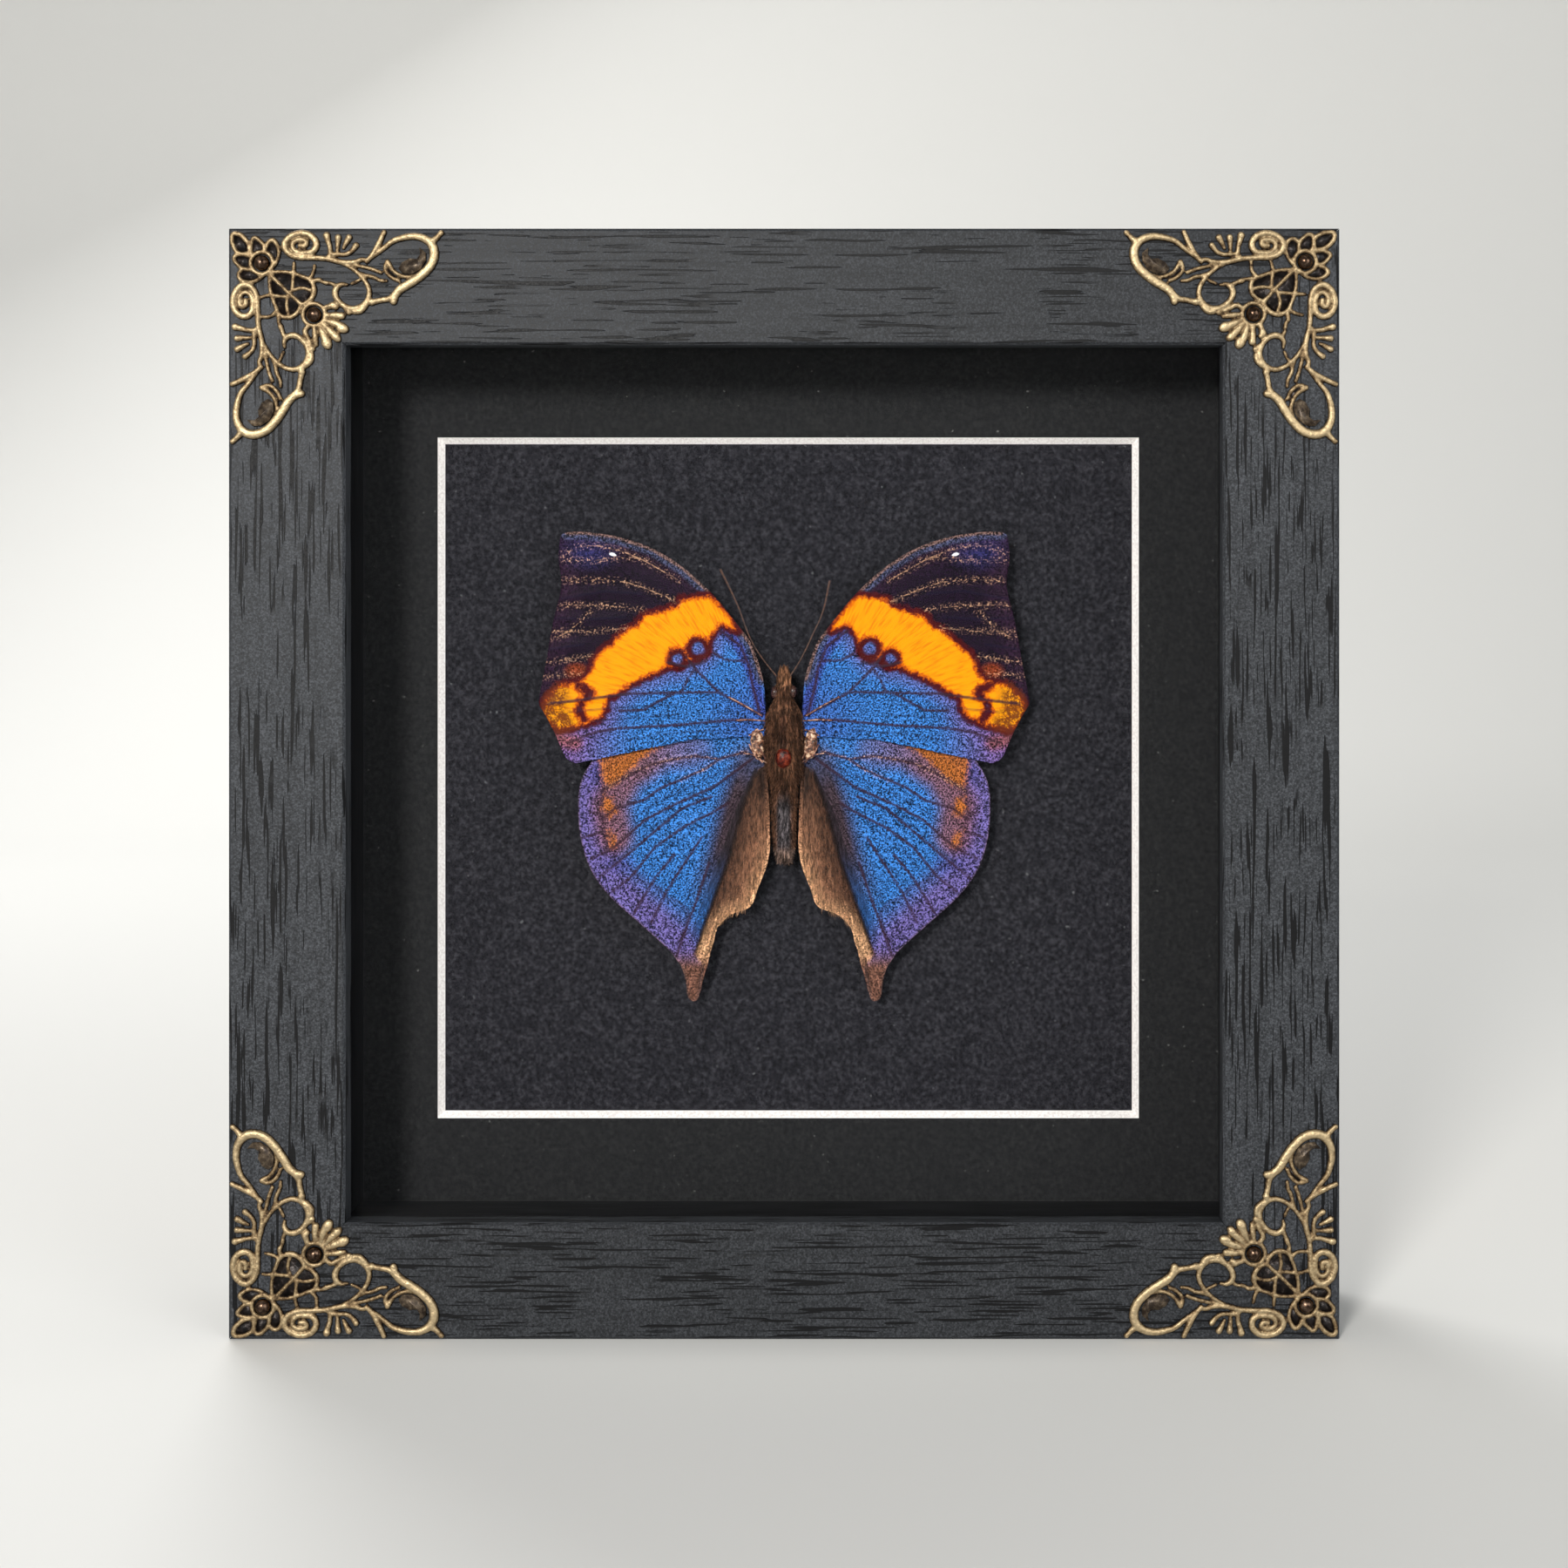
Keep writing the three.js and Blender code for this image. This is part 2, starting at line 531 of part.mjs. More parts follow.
// Wing outlines on the butterfly's left side: out from the body's axis, up from the thorax
const FOREWING_ROOT = [3.5, 6.4];
const FOREWING_OUTLINE = [
  [3.6, 9.6], [4, 15], [6.1, 21.4], [9.1, 25.6], [13.6, 31], [19, 35.9], [25, 39.6], [31.6, 41.8], [38, 42.7],
  [42, 42.2], [42.6, 37.5], [42.1, 32.3], [43.8, 25], [45, 18], [46.4, 10.6], [45.3, 8.4], [43.3, 4.6],
  [41.3, 0.2], [39.2, -1], [33.2, 0.9], [26.7, 2.3], [20.1, 3.5], [13.6, 3.6], [7.8, 4], [3.8, 4.2],
];
const HINDWING_ROOT = [3.6, 1.6];
const HINDWING_OUTLINE = [
  [3.9, 3.2], [8, 5], [16, 5.4], [26, 4.4], [33.5, 2.2], [36.6, -1], [38.6, -5], [39, -10], [38.4, -16],
  [36.5, -21.5], [33, -26.3], [27.4, -31.4], [22, -36.3], [19.8, -39.2], [18.6, -42.8], [18.2, -45.6],
  [17.1, -46.2], [16.2, -45.4], [15.6, -40.8], [14.9, -36.8], [13.4, -33.2], [10.2, -29.8], [6.4, -28.2], [4.9, -24.6],
  [3.4, -20.8], [2.7, -17], [2.8, -11], [3.2, -4],
];

// How far a wing's middle surface stands in front of its plane: bowed between root and margin
const wingBow = (out, up) => WING_BOW * Math.sin(Math.min(1, Math.hypot(out, up) / WING_REACH) * Math.PI);

// A thin closed wing, fanned from its root to its outline in two rings
function wingGeometry(root, outline, side) {
  const reaches = [0, 0.55, 1];
  const count = outline.length;
  const positions = [];
  for (const half of [-1, 1]) {
    for (const reach of reaches) {
      for (const point of outline) {
        const out = THREE.MathUtils.lerp(root[0], point[0], reach);
        const up = THREE.MathUtils.lerp(root[1], point[1], reach);
        positions.push(side * out, half * WING_THICKNESS / 2 - wingBow(out, up), up);
      }
    }
  }
  const index = [];
  const vertex = (layer, ring, i) => (layer * reaches.length + ring) * count + (i % count);
  const quad = (a, b, c, d) => index.push(a, b, c, a, c, d);
  for (let i = 0; i < count; i += 1) {
    for (let layer = 0; layer < 2; layer += 1) {
      for (let ring = 0; ring < reaches.length - 1; ring += 1) {
        const corners = [
          vertex(layer, ring, i),
          vertex(layer, ring + 1, i),
          vertex(layer, ring + 1, i + 1),
          vertex(layer, ring, i + 1),
        ];
        quad(...(layer === 0 ? corners : corners.reverse()));
      }
    }
    const rim = reaches.length - 1;
    quad(vertex(0, rim, i), vertex(1, rim, i), vertex(1, rim, i + 1), vertex(0, rim, i + 1));
  }
  return closedGeometry(positions, side > 0 ? index.reverse() : index);
}

// Merges shared corners and drops the faces that close to nothing
function closedGeometry(positions, index) {
  const loose = new THREE.BufferGeometry();
  loose.setAttribute('position', new THREE.Float32BufferAttribute(positions, 3));
  loose.setIndex(index);
  const merged = mergeVertices(loose, 1e-4);
  const corners = merged.index.array;
  const kept = [];
  for (let i = 0; i < corners.length; i += 3) {
    const [a, b, c] = [corners[i], corners[i + 1], corners[i + 2]];
    if (a !== b && b !== c && c !== a) {
      kept.push(a, b, c);
    }
  }
  merged.setIndex(kept);
  const flat = merged.toNonIndexed();
  flat.computeVertexNormals();
  return flat;
}

// Body sections from the tail to the head: up from the thorax, half width, half depth
const BODY_SECTIONS = [
  [-20.1, 0, 0], [-19.4, 0.9, 0.9], [-17, 1.6, 1.6], [-12, 2.1, 2.1], [-8, 2.2, 2.2], [-5, 1.7, 1.8],
  [-3.4, 1.4, 1.6], [-1.4, 2.3, 2.5], [2, 2.9, 3], [6, 2.9, 3], [9, 2.4, 2.6], [10.6, 1.7, 1.9],
  [12.4, 1.9, 1.8], [14.4, 1.6, 1.5], [16.4, 1.1, 1.1], [17.8, 0, 0],
];
const BODY_SIDES = 8;
const EYE = { out: 1.75, up: 12.5, radius: 1.1 };

// The abdomen sags backwards: where this starts, over what length, and how far by its end
const SAG = { start: -4, length: 16, depth: 1.6 };

function bodyGeometry() {
  const positions = [];
  for (const [up, halfWidth, halfDepth] of BODY_SECTIONS) {
    const droop = SAG.depth * (Math.min(0, up - SAG.start) / SAG.length) ** 2;
    for (let i = 0; i < BODY_SIDES; i += 1) {
      const angle = (i / BODY_SIDES) * 2 * Math.PI;
      positions.push(halfWidth * Math.cos(angle), droop + halfDepth * Math.sin(angle), up);
    }
  }
  const index = [];
  for (let ring = 0; ring < BODY_SECTIONS.length - 1; ring += 1) {
    for (let i = 0; i < BODY_SIDES; i += 1) {
      const next = (i + 1) % BODY_SIDES;
      const [a, b] = [ring * BODY_SIDES + i, ring * BODY_SIDES + next];
      const [c, d] = [b + BODY_SIDES, a + BODY_SIDES];
      index.push(a, b, c, a, c, d);
    }
  }
  let body = toSolid(closedGeometry(positions, index));
  for (const side of [-1, 1]) {
    const eye = new THREE.SphereGeometry(EYE.radius, 8, 6);
    body = body.add(toSolid(eye.translate(side * EYE.out, 0, EYE.up)));
  }
  return toGeometry(body);
}

// Antennae: out, depth in front of the wings, up
const LEFT_ANTENNA = [[-1.3, 1.4, 15.4], [-4, 1.5, 18.8], [-6, 1.6, 22], [-8.7, 1.6, 28.9], [-11.9, 1.6, 35.6]];
const RIGHT_ANTENNA = [[1.2, 1.4, 15.4], [3.2, 1.5, 18.6], [5.6, 1.6, 23.6], [7.3, 1.6, 27.4], [8.7, 1.6, 33.5]];

function antennaGeometry(route) {
  const path = new THREE.CatmullRomCurve3(route.map(([x, front, z]) => new THREE.Vector3(x, -front, z)));
  const corners = [0, 72, 144, 216, 288].map((degrees) => {
    const angle = THREE.MathUtils.degToRad(degrees);
    return new THREE.Vector2(ANTENNA_RADIUS * Math.cos(angle), ANTENNA_RADIUS * Math.sin(angle));
  });
  return new THREE.ExtrudeGeometry(new THREE.Shape(corners), { steps: 6, extrudePath: path });
}

function buildButterfly(parent) {
  const butterfly = new THREE.Group();
  butterfly.position.set(SPECIMEN_CENTRE.x, yAt(WING_PLANE_DEPTH), SPECIMEN_CENTRE.z - FRAME_SIDE / 2);
  parent.add(butterfly);
  addMesh(butterfly, 'butterfly_body', bodyGeometry(), chitin());
  for (const [name, side] of [['left', -1], ['right', 1]]) {
    const forewing = wingGeometry(FOREWING_ROOT, FOREWING_OUTLINE, side);
    const hindwing = wingGeometry(HINDWING_ROOT, HINDWING_OUTLINE, side);
    addMesh(butterfly, `${name}_forewing`, forewing, forewingScales());
    addMesh(butterfly, `${name}_hindwing`, hindwing, hindwingScales(), [0, HINDWING_SETBACK, 0]);
  }
  addMesh(butterfly, 'left_antenna', antennaGeometry(LEFT_ANTENNA), chitin());
  addMesh(butterfly, 'right_antenna', antennaGeometry(RIGHT_ANTENNA), chitin());
  const deepest = Math.max(...BODY_SECTIONS.map((section) => section[2]));
  const padFront = WING_PLANE_DEPTH + deepest + LAYER_GAP;
  const padCentre = [SPECIMEN_CENTRE.x, SPECIMEN_CENTRE.z - FRAME_SIDE / 2 + PAD_RISE];
  const padSize = [PAD_SIZE.width, PAD_SIZE.height];
  addSlab(parent, 'specimen_pad', padSize, [padFront, boardFront - LAYER_GAP], padCentre, cork());
}

const specimenFrame = new THREE.Group();
specimenFrame.position.z = FRAME_SIDE / 2;
buildMembers(specimenFrame);
buildPack(specimenFrame);
buildTabs(specimenFrame);
buildHanger(specimenFrame);
buildCorners(specimenFrame);
buildButterfly(specimenFrame);

export default specimenFrame;
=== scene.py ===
import math
import random

import bmesh
import bpy
import numpy as np
from mathutils import Matrix, Vector, noise


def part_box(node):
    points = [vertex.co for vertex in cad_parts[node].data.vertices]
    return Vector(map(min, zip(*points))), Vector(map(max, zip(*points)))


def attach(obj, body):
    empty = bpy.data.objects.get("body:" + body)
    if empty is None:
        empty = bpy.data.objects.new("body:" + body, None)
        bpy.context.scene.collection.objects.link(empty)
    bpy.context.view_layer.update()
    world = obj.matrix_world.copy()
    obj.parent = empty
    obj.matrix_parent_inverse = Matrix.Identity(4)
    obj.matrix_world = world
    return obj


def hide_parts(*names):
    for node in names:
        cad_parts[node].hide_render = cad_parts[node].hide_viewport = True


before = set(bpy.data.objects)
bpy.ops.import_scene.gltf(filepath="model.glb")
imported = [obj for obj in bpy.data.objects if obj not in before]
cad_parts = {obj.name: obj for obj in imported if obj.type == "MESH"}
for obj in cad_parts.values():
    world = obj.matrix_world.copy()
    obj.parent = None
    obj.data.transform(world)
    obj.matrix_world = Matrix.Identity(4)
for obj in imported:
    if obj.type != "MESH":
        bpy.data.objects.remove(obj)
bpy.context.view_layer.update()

# A leafwing butterfly set in a square box frame of black open-grain wood, with a brass casting
# on each front corner. Metres, +Z up, the glazed front faces -Y.

# Camera: square on to the front, above and to the right of the middle, as the walls seen inside
# the box show, with its shift set so that the frame fills the picture as photographed.
scene = bpy.context.scene
FRONT_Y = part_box("bottom_rail")[0].y
FRAME_SIDE = 0.2
CAMERA_DISTANCE = 0.42
CAMERA_PLACE = (0.0219, FRONT_Y - CAMERA_DISTANCE, 0.133)
VIEW_WIDTH = 0.28213
SENSOR_WIDTH = 36

camera_data = bpy.data.cameras.new("camera")
camera_data.sensor_width = SENSOR_WIDTH
camera_data.lens = SENSOR_WIDTH * CAMERA_DISTANCE / VIEW_WIDTH
camera_data.shift_x = -CAMERA_PLACE[0] / VIEW_WIDTH
camera_data.shift_y = (FRAME_SIDE / 2 - CAMERA_PLACE[2]) / VIEW_WIDTH
camera = bpy.data.objects.new("camera", camera_data)
camera.location = CAMERA_PLACE
camera.rotation_euler = (math.pi / 2, 0, 0)
scene.collection.objects.link(camera)
scene.camera = camera
scene.view_settings.view_transform = "Standard"


# Light: one soft lamp high on the left in front, a wide dim one on the right, one behind for the
# back, and a pale room all round.
FRAME_MIDDLE = Vector((0, 0, FRAME_SIDE / 2))


def add_lamp(name, place, target, size, power, colour):
    data = bpy.data.lights.new(name, "AREA")
    data.shape = "DISK"
    data.size = size
    data.energy = power
    data.color = colour
    lamp = bpy.data.objects.new(name, data)
    lamp.location = place
    lamp.rotation_euler = (Vector(target) - Vector(place)).to_track_quat("-Z", "Y").to_euler()
    scene.collection.objects.link(lamp)
    return lamp


add_lamp("key_lamp", (-0.42, -1.4, 0.56), FRAME_MIDDLE, 0.3, 21, (1, 0.98, 0.95))
add_lamp("fill_lamp", (0.9, -1.0, 0.5), FRAME_MIDDLE, 0.9, 6, (0.95, 0.98, 1))
add_lamp("back_lamp", (-0.5, 0.9, 0.9), FRAME_MIDDLE, 0.7, 9, (1, 1, 1))
world = bpy.data.worlds.new("pale_room")
world.use_nodes = True
world.node_tree.nodes["Background"].inputs["Color"].default_value = (0.86, 0.88, 0.9, 1)
world.node_tree.nodes["Background"].inputs["Strength"].default_value = 0.45
scene.world = world


# Floor and backdrop: one pale sweep of board that curves up behind the frame.
FLOOR_HALF_WIDTH = 2.5
FLOOR_FRONT = -2.0
SWEEP_START = 0.8
SWEEP_RADIUS = 0.5
SWEEP_STEPS = 16
SWEEP_TOP = 2.5


def start_material(name, roughness=0.5, metallic=0.0, specular=0.5):
    material = bpy.data.materials.new(name)
    material.use_nodes = True
    shader = material.node_tree.nodes["Principled BSDF"]
    shader.inputs["Roughness"].default_value = roughness
    shader.inputs["Metallic"].default_value = metallic
    shader.inputs["Specular IOR Level"].default_value = specular
    return material, material.node_tree, shader


def srgb(red, green, blue):
    """A screen colour, 0 to 255, as the linear colour that shaders take."""
    linear = [(value / 255 / 12.92) if value < 11 else ((value / 255 + 0.055) / 1.055) ** 2.4
              for value in (red, green, blue)]
    return (*linear, 1)


def pale_floor():
    material, tree, shader = start_material("pale_floor", 0.7)
    shader.inputs["Base Color"].default_value = srgb(222, 221, 217)
    return material


def finished_mesh(bm, name, *materials, smooth=True):
    """The shape as a mesh with its materials. The shape itself is freed."""
    mesh = bpy.data.meshes.new(name)
    bm.to_mesh(mesh)
    bm.free()
    if smooth:
        mesh.shade_smooth()
    for material in materials:
        mesh.materials.append(material)
    return mesh


def place_piece(mesh):
    piece = bpy.data.objects.new(mesh.name, mesh)
    scene.collection.objects.link(piece)
    return piece


route = [(FLOOR_FRONT, 0.0), (SWEEP_START, 0.0)]
for step in range(1, SWEEP_STEPS + 1):
    angle = step / SWEEP_STEPS * math.pi / 2
    route.append((SWEEP_START + SWEEP_RADIUS * math.sin(angle), SWEEP_RADIUS * (1 - math.cos(angle))))
route.append((SWEEP_START + SWEEP_RADIUS, SWEEP_TOP))
sweep = bmesh.new()
line = [sweep.verts.new((-FLOOR_HALF_WIDTH, y, z)) for y, z in route]
edges = [sweep.edges.new(pair) for pair in zip(line, line[1:])]
pulled = bmesh.ops.extrude_edge_only(sweep, edges=edges)["geom"]
moved = [item for item in pulled if isinstance(item, bmesh.types.BMVert)]
bmesh.ops.translate(sweep, verts=moved, vec=(2 * FLOOR_HALF_WIDTH, 0, 0))
bmesh.ops.recalc_face_normals(sweep, faces=sweep.faces)
floor = place_piece(finished_mesh(sweep, "floor", pale_floor()))
floor.visible_glossy = False


# Moulding: four mitred members in open-grained wood under thin black paint. The pores run along
# each member, so the grain turns a right angle at every mitre. The solids come from the frame.
WOOD_DARK = srgb(24, 25, 27)
WOOD_MID = srgb(41, 43, 46)
WOOD_PALE = srgb(66, 68, 72)
PORE_COLOUR = srgb(2, 2, 3)
# Painted sheen and shade: the same paint is lightened on the stiles and darkened on the rails, for the light
# the grain catches along each member.
STILE_PAINTED_SHEEN = 1.2
RAIL_PAINTED_SHADE = 0.84
ACROSS_PORES = 1500
ALONG_PORES = 64
GRAIN_SLANT = 0.05


def add_ramp(tree, source, stops):
    ramp = tree.nodes.new("ShaderNodeValToRGB")
    elements = ramp.color_ramp.elements
    while len(elements) < len(stops):
        elements.new(0.5)
    for element, (position, colour) in zip(elements, stops):
        element.position = position
        element.color = colour if hasattr(colour, "__len__") else (colour, colour, colour, 1)
    tree.links.new(source, ramp.inputs["Fac"])
    return ramp.outputs["Color"]


def object_point(tree, scale=(1, 1, 1), turn=(0, 0, 0)):
    coordinates = tree.nodes.new("ShaderNodeTexCoord")
    mapping = tree.nodes.new("ShaderNodeMapping")
    mapping.vector_type = "POINT"
    mapping.inputs["Scale"].default_value = scale
    mapping.inputs["Rotation"].default_value = turn
    tree.links.new(coordinates.outputs["Object"], mapping.inputs["Vector"])
    return mapping.outputs["Vector"]


def add_noise(tree, point, scale, detail=3, roughness=0.55):
    node = tree.nodes.new("ShaderNodeTexNoise")
    node.inputs["Scale"].default_value = scale
    node.inputs["Detail"].default_value = detail
    node.inputs["Roughness"].default_value = roughness
    tree.links.new(point, node.inputs["Vector"])
    return node.outputs["Fac"]


def math_node(tree, operation, first, second=0.0, clamp=False):
    node = tree.nodes.new("ShaderNodeMath")
    node.operation = operation
    node.use_clamp = clamp
    for socket, value in zip(node.inputs, (first, second)):
        if isinstance(value, (int, float)):
            socket.default_value = value
        else:
            tree.links.new(value, socket)
    return node.outputs["Value"]


def mix_colour(tree, factor, first, second, blend="MIX"):
    node = tree.nodes.new("ShaderNodeMix")
    node.data_type = "RGBA"
    node.blend_type = blend
    sockets = (node.inputs["Factor"], node.inputs[6], node.inputs[7])
    for socket, value in zip(sockets, (factor, first, second)):
        if isinstance(value, (int, float, tuple)):
            socket.default_value = value
        else:
            tree.links.new(value, socket)
    return node.outputs[2]


def multiplied(tree, first, second):
    return mix_colour(tree, 1.0, first, second, "MULTIPLY")


def add_bump(tree, shader, heights, strength, distance):
    bump = tree.nodes.new("ShaderNodeBump")
    bump.inputs["Strength"].default_value = strength
    bump.inputs["Distance"].default_value = distance
    tree.links.new(heights, bump.inputs["Height"])
    tree.links.new(bump.outputs["Normal"], shader.inputs["Normal"])


def weighed(tree, first, first_share, second, second_share):
    """Two noises added up, each by its share."""
    return math_node(tree, "ADD", math_node(tree, "MULTIPLY", first, first_share),
                     math_node(tree, "MULTIPLY", second, second_share))


def dress(node_name, material):
    """Give one of the frame's own solids its material."""
    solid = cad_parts[node_name]
    solid.data.materials.clear()
    solid.data.materials.append(material)


def painted_wood(name, upright, seed):
    material, tree, shader = start_material(name, 0.5, specular=0.22)
    along, across = ALONG_PORES, ACROSS_PORES
    scale = (across, across, along) if upright else (along, across, across)
    slant = (0, GRAIN_SLANT if upright else -GRAIN_SLANT, 0)
    shifted = tree.nodes.new("ShaderNodeVectorMath")
    shifted.operation = "ADD"
    shifted.inputs[1].default_value = (seed * 13.7, seed * 7.1, seed * 3.3)
    tree.links.new(object_point(tree, scale, slant), shifted.inputs[0])
    grain_point = shifted.outputs["Vector"]
    plain_point = object_point(tree)
    fine = add_noise(tree, grain_point, 1.25, 1, 0.4)
    pores = add_ramp(tree, fine, [(0.6, 0.0), (0.612, 1.0)])
    coarse = add_noise(tree, grain_point, 0.8, 1, 0.4)
    cracks = add_ramp(tree, coarse, [(0.655, 0.0), (0.665, 1.0)])
    patches = add_ramp(tree, add_noise(tree, plain_point, 45, 3), [(0.42, 0.0), (0.48, 1.0)])
    open_pores = math_node(tree, "MULTIPLY", pores, patches)
    holes = math_node(tree, "MAXIMUM", open_pores, cracks)
    streaks = add_noise(tree, grain_point, 0.7, 4, 0.65)
    speckle = add_noise(tree, plain_point, 3000, 3, 0.7)
    tone = weighed(tree, streaks, 0.16, speckle, 0.84)
    paint = add_ramp(tree, tone, [(0.38, WOOD_DARK), (0.5, WOOD_MID), (0.64, WOOD_PALE)])
    # painted sheen lightens the stiles, painted shade darkens the rails
    level = STILE_PAINTED_SHEEN if upright else RAIL_PAINTED_SHADE
    paint = multiplied(tree, paint, (level, level, level, 1))
    tree.links.new(mix_colour(tree, holes, paint, PORE_COLOUR), shader.inputs["Base Color"])
    rough = add_ramp(tree, speckle, [(0.3, 0.42), (0.7, 0.62)])
    tree.links.new(rough, shader.inputs["Roughness"])
    height = math_node(tree, "SUBTRACT", math_node(tree, "MULTIPLY", tone, 0.35), holes)
    add_bump(tree, shader, height, 0.6, 0.0002)
    return material


for number, name in enumerate(("top_rail", "right_stile", "bottom_rail", "left_stile")):
    dress(name, painted_wood(f"black_wood_{name}", name.endswith("stile"), number + 1))


# Corner castings: one pierced ornament in antique brass, turned into each corner. It is drawn as
# strokes that melt together, as in the wax it was cast from. Millimetres from the outer corner:
# across, down and width.
MM = 0.001
CASTING_TOP = 1.15
CASTING_SEAT = 0.1
CASTING_VOXEL = 0.00016
STROKE_GAIN = 0.34
MELT_GAIN = 1.35
BACK_SHARE = 0.05
LEAF_HEIGHT = 0.42
WEB_HEIGHT = 0.2
PLATE_FOOT = 0.04

ARM_STROKES = [
    # scroll, from its eye out to the stem
    [(13.0, 3.2, 0.7), (13.8, 3.2, 0.8), (14.1, 2.5, 0.8), (13.2, 2.1, 0.8), (12.2, 2.3, 0.75),
     (11.6, 3.1, 0.7), (12.1, 4.1, 0.75), (13.9, 4.5, 0.85), (15.4, 4.1, 0.95), (15.9, 3.0, 1.0),
     (15.4, 1.8, 1.0), (14.0, 1.0, 0.95), (12.2, 1.1, 0.95), (10.7, 2.0, 0.95), (10.2, 3.2, 0.95),
     (10.8, 4.4, 0.9), (12.4, 5.2, 0.85), (14.9, 5.35, 0.8), (17.6, 5.5, 0.75), (21, 6.2, 0.8),
     (23, 6.05, 0.65), (24.2, 5.65, 0.6), (25.1, 5.9, 0.65)],
    # thorn
    [(25.0, 6.0, 0.65), (26.05, 4.75, 0.75), (27.2, 2.7, 0.8), (28.1, 0.75, 0.7)],
    # teardrop loop
    [(25.7, 5.4, 0.5), (27.9, 3.75, 0.65), (29.7, 2.35, 0.8), (31.5, 1.75, 0.95), (33.4, 1.5, 1.05),
     (35.3, 1.9, 1.2), (36.6, 2.9, 1.4), (37.1, 4.4, 1.45), (36.6, 6.5, 1.4), (34.9, 8.4, 1.4),
     (32.8, 9.9, 1.4), (30.9, 11.1, 1.35), (29.9, 12.2, 1.2), (29.0, 12.7, 0.9), (27.4, 13.0, 0.8),
     (25.8, 13.35, 0.9)],
    [(36.4, 2.6, 1.2), (37.4, 1.9, 0.85), (38.0, 1.3, 0.7), (38.4, 0.85, 0.75)],
    [(29.9, 12.6, 1.2), (29.8, 13.2, 1.1)],
    # curl and its bumps
    [(20.4, 6.2, 0.55), (21.9, 7.0, 0.55), (23.3, 8.0, 0.6), (24.5, 9.3, 0.65), (25.3, 10.8, 0.7),
     (25.4, 12.1, 0.75), (24.8, 13.4, 0.85), (23.6, 14.3, 0.9), (22.3, 14.5, 0.9), (20.9, 14.0, 0.85),
     (19.8, 13.0, 0.85), (19.3, 11.8, 0.95), (19.6, 10.7, 0.9), (20.4, 10.15, 0.65), (21.4, 10.2, 0.4)],
    [(21.0, 14.2, 0.7), (21.8, 15.2, 0.8)],
    [(22.8, 15.0, 0.9), (23.7, 14.9, 1.0), (24.5, 14.2, 1.0), (24.9, 13.6, 0.8)],
    [(25.2, 13.2, 0.9), (25.9, 13.3, 1.1)],
    # side branches
    [(20.4, 6.2, 0.4), (23.9, 6.9, 0.45), (25.9, 7.4, 0.5), (27.5, 8.0, 0.5)],
    [(23.0, 7.8, 0.4), (24.7, 8.5, 0.5), (26.1, 8.8, 0.55), (27.4, 9.4, 0.5), (28.5, 9.5, 0.4)],
    [(22.3, 10.0, 0.35), (23.6, 9.4, 0.4)],
    # lobe at the loop's foot
    [(28.7, 6.1, 0.7), (28.3, 7.3, 0.5), (29.2, 8.7, 0.5), (30.7, 9.5, 0.5)],
    [(28.8, 6.2, 0.7), (29.6, 7.5, 0.55), (30.8, 8.4, 0.55), (32.2, 8.8, 0.5), (34.0, 8.5, 0.5)],
    # sprig
    [(18.0, 5.5, 0.6), (18.3, 4.9, 0.6), (19.8, 4.75, 0.55), (21.4, 4.65, 0.6), (22.4, 4.0, 0.65),
     (23.1, 3.1, 0.85)],
    [(18.4, 5.0, 0.6), (18.35, 3.5, 0.65), (18.0, 2.2, 0.8), (17.8, 1.35, 1.1)],
    [(19.7, 4.7, 0.35), (19.75, 3.0, 0.6), (19.85, 1.7, 0.95)],
    [(20.8, 3.6, 0.4), (21.3, 2.6, 0.7), (21.8, 1.7, 0.95)],
]

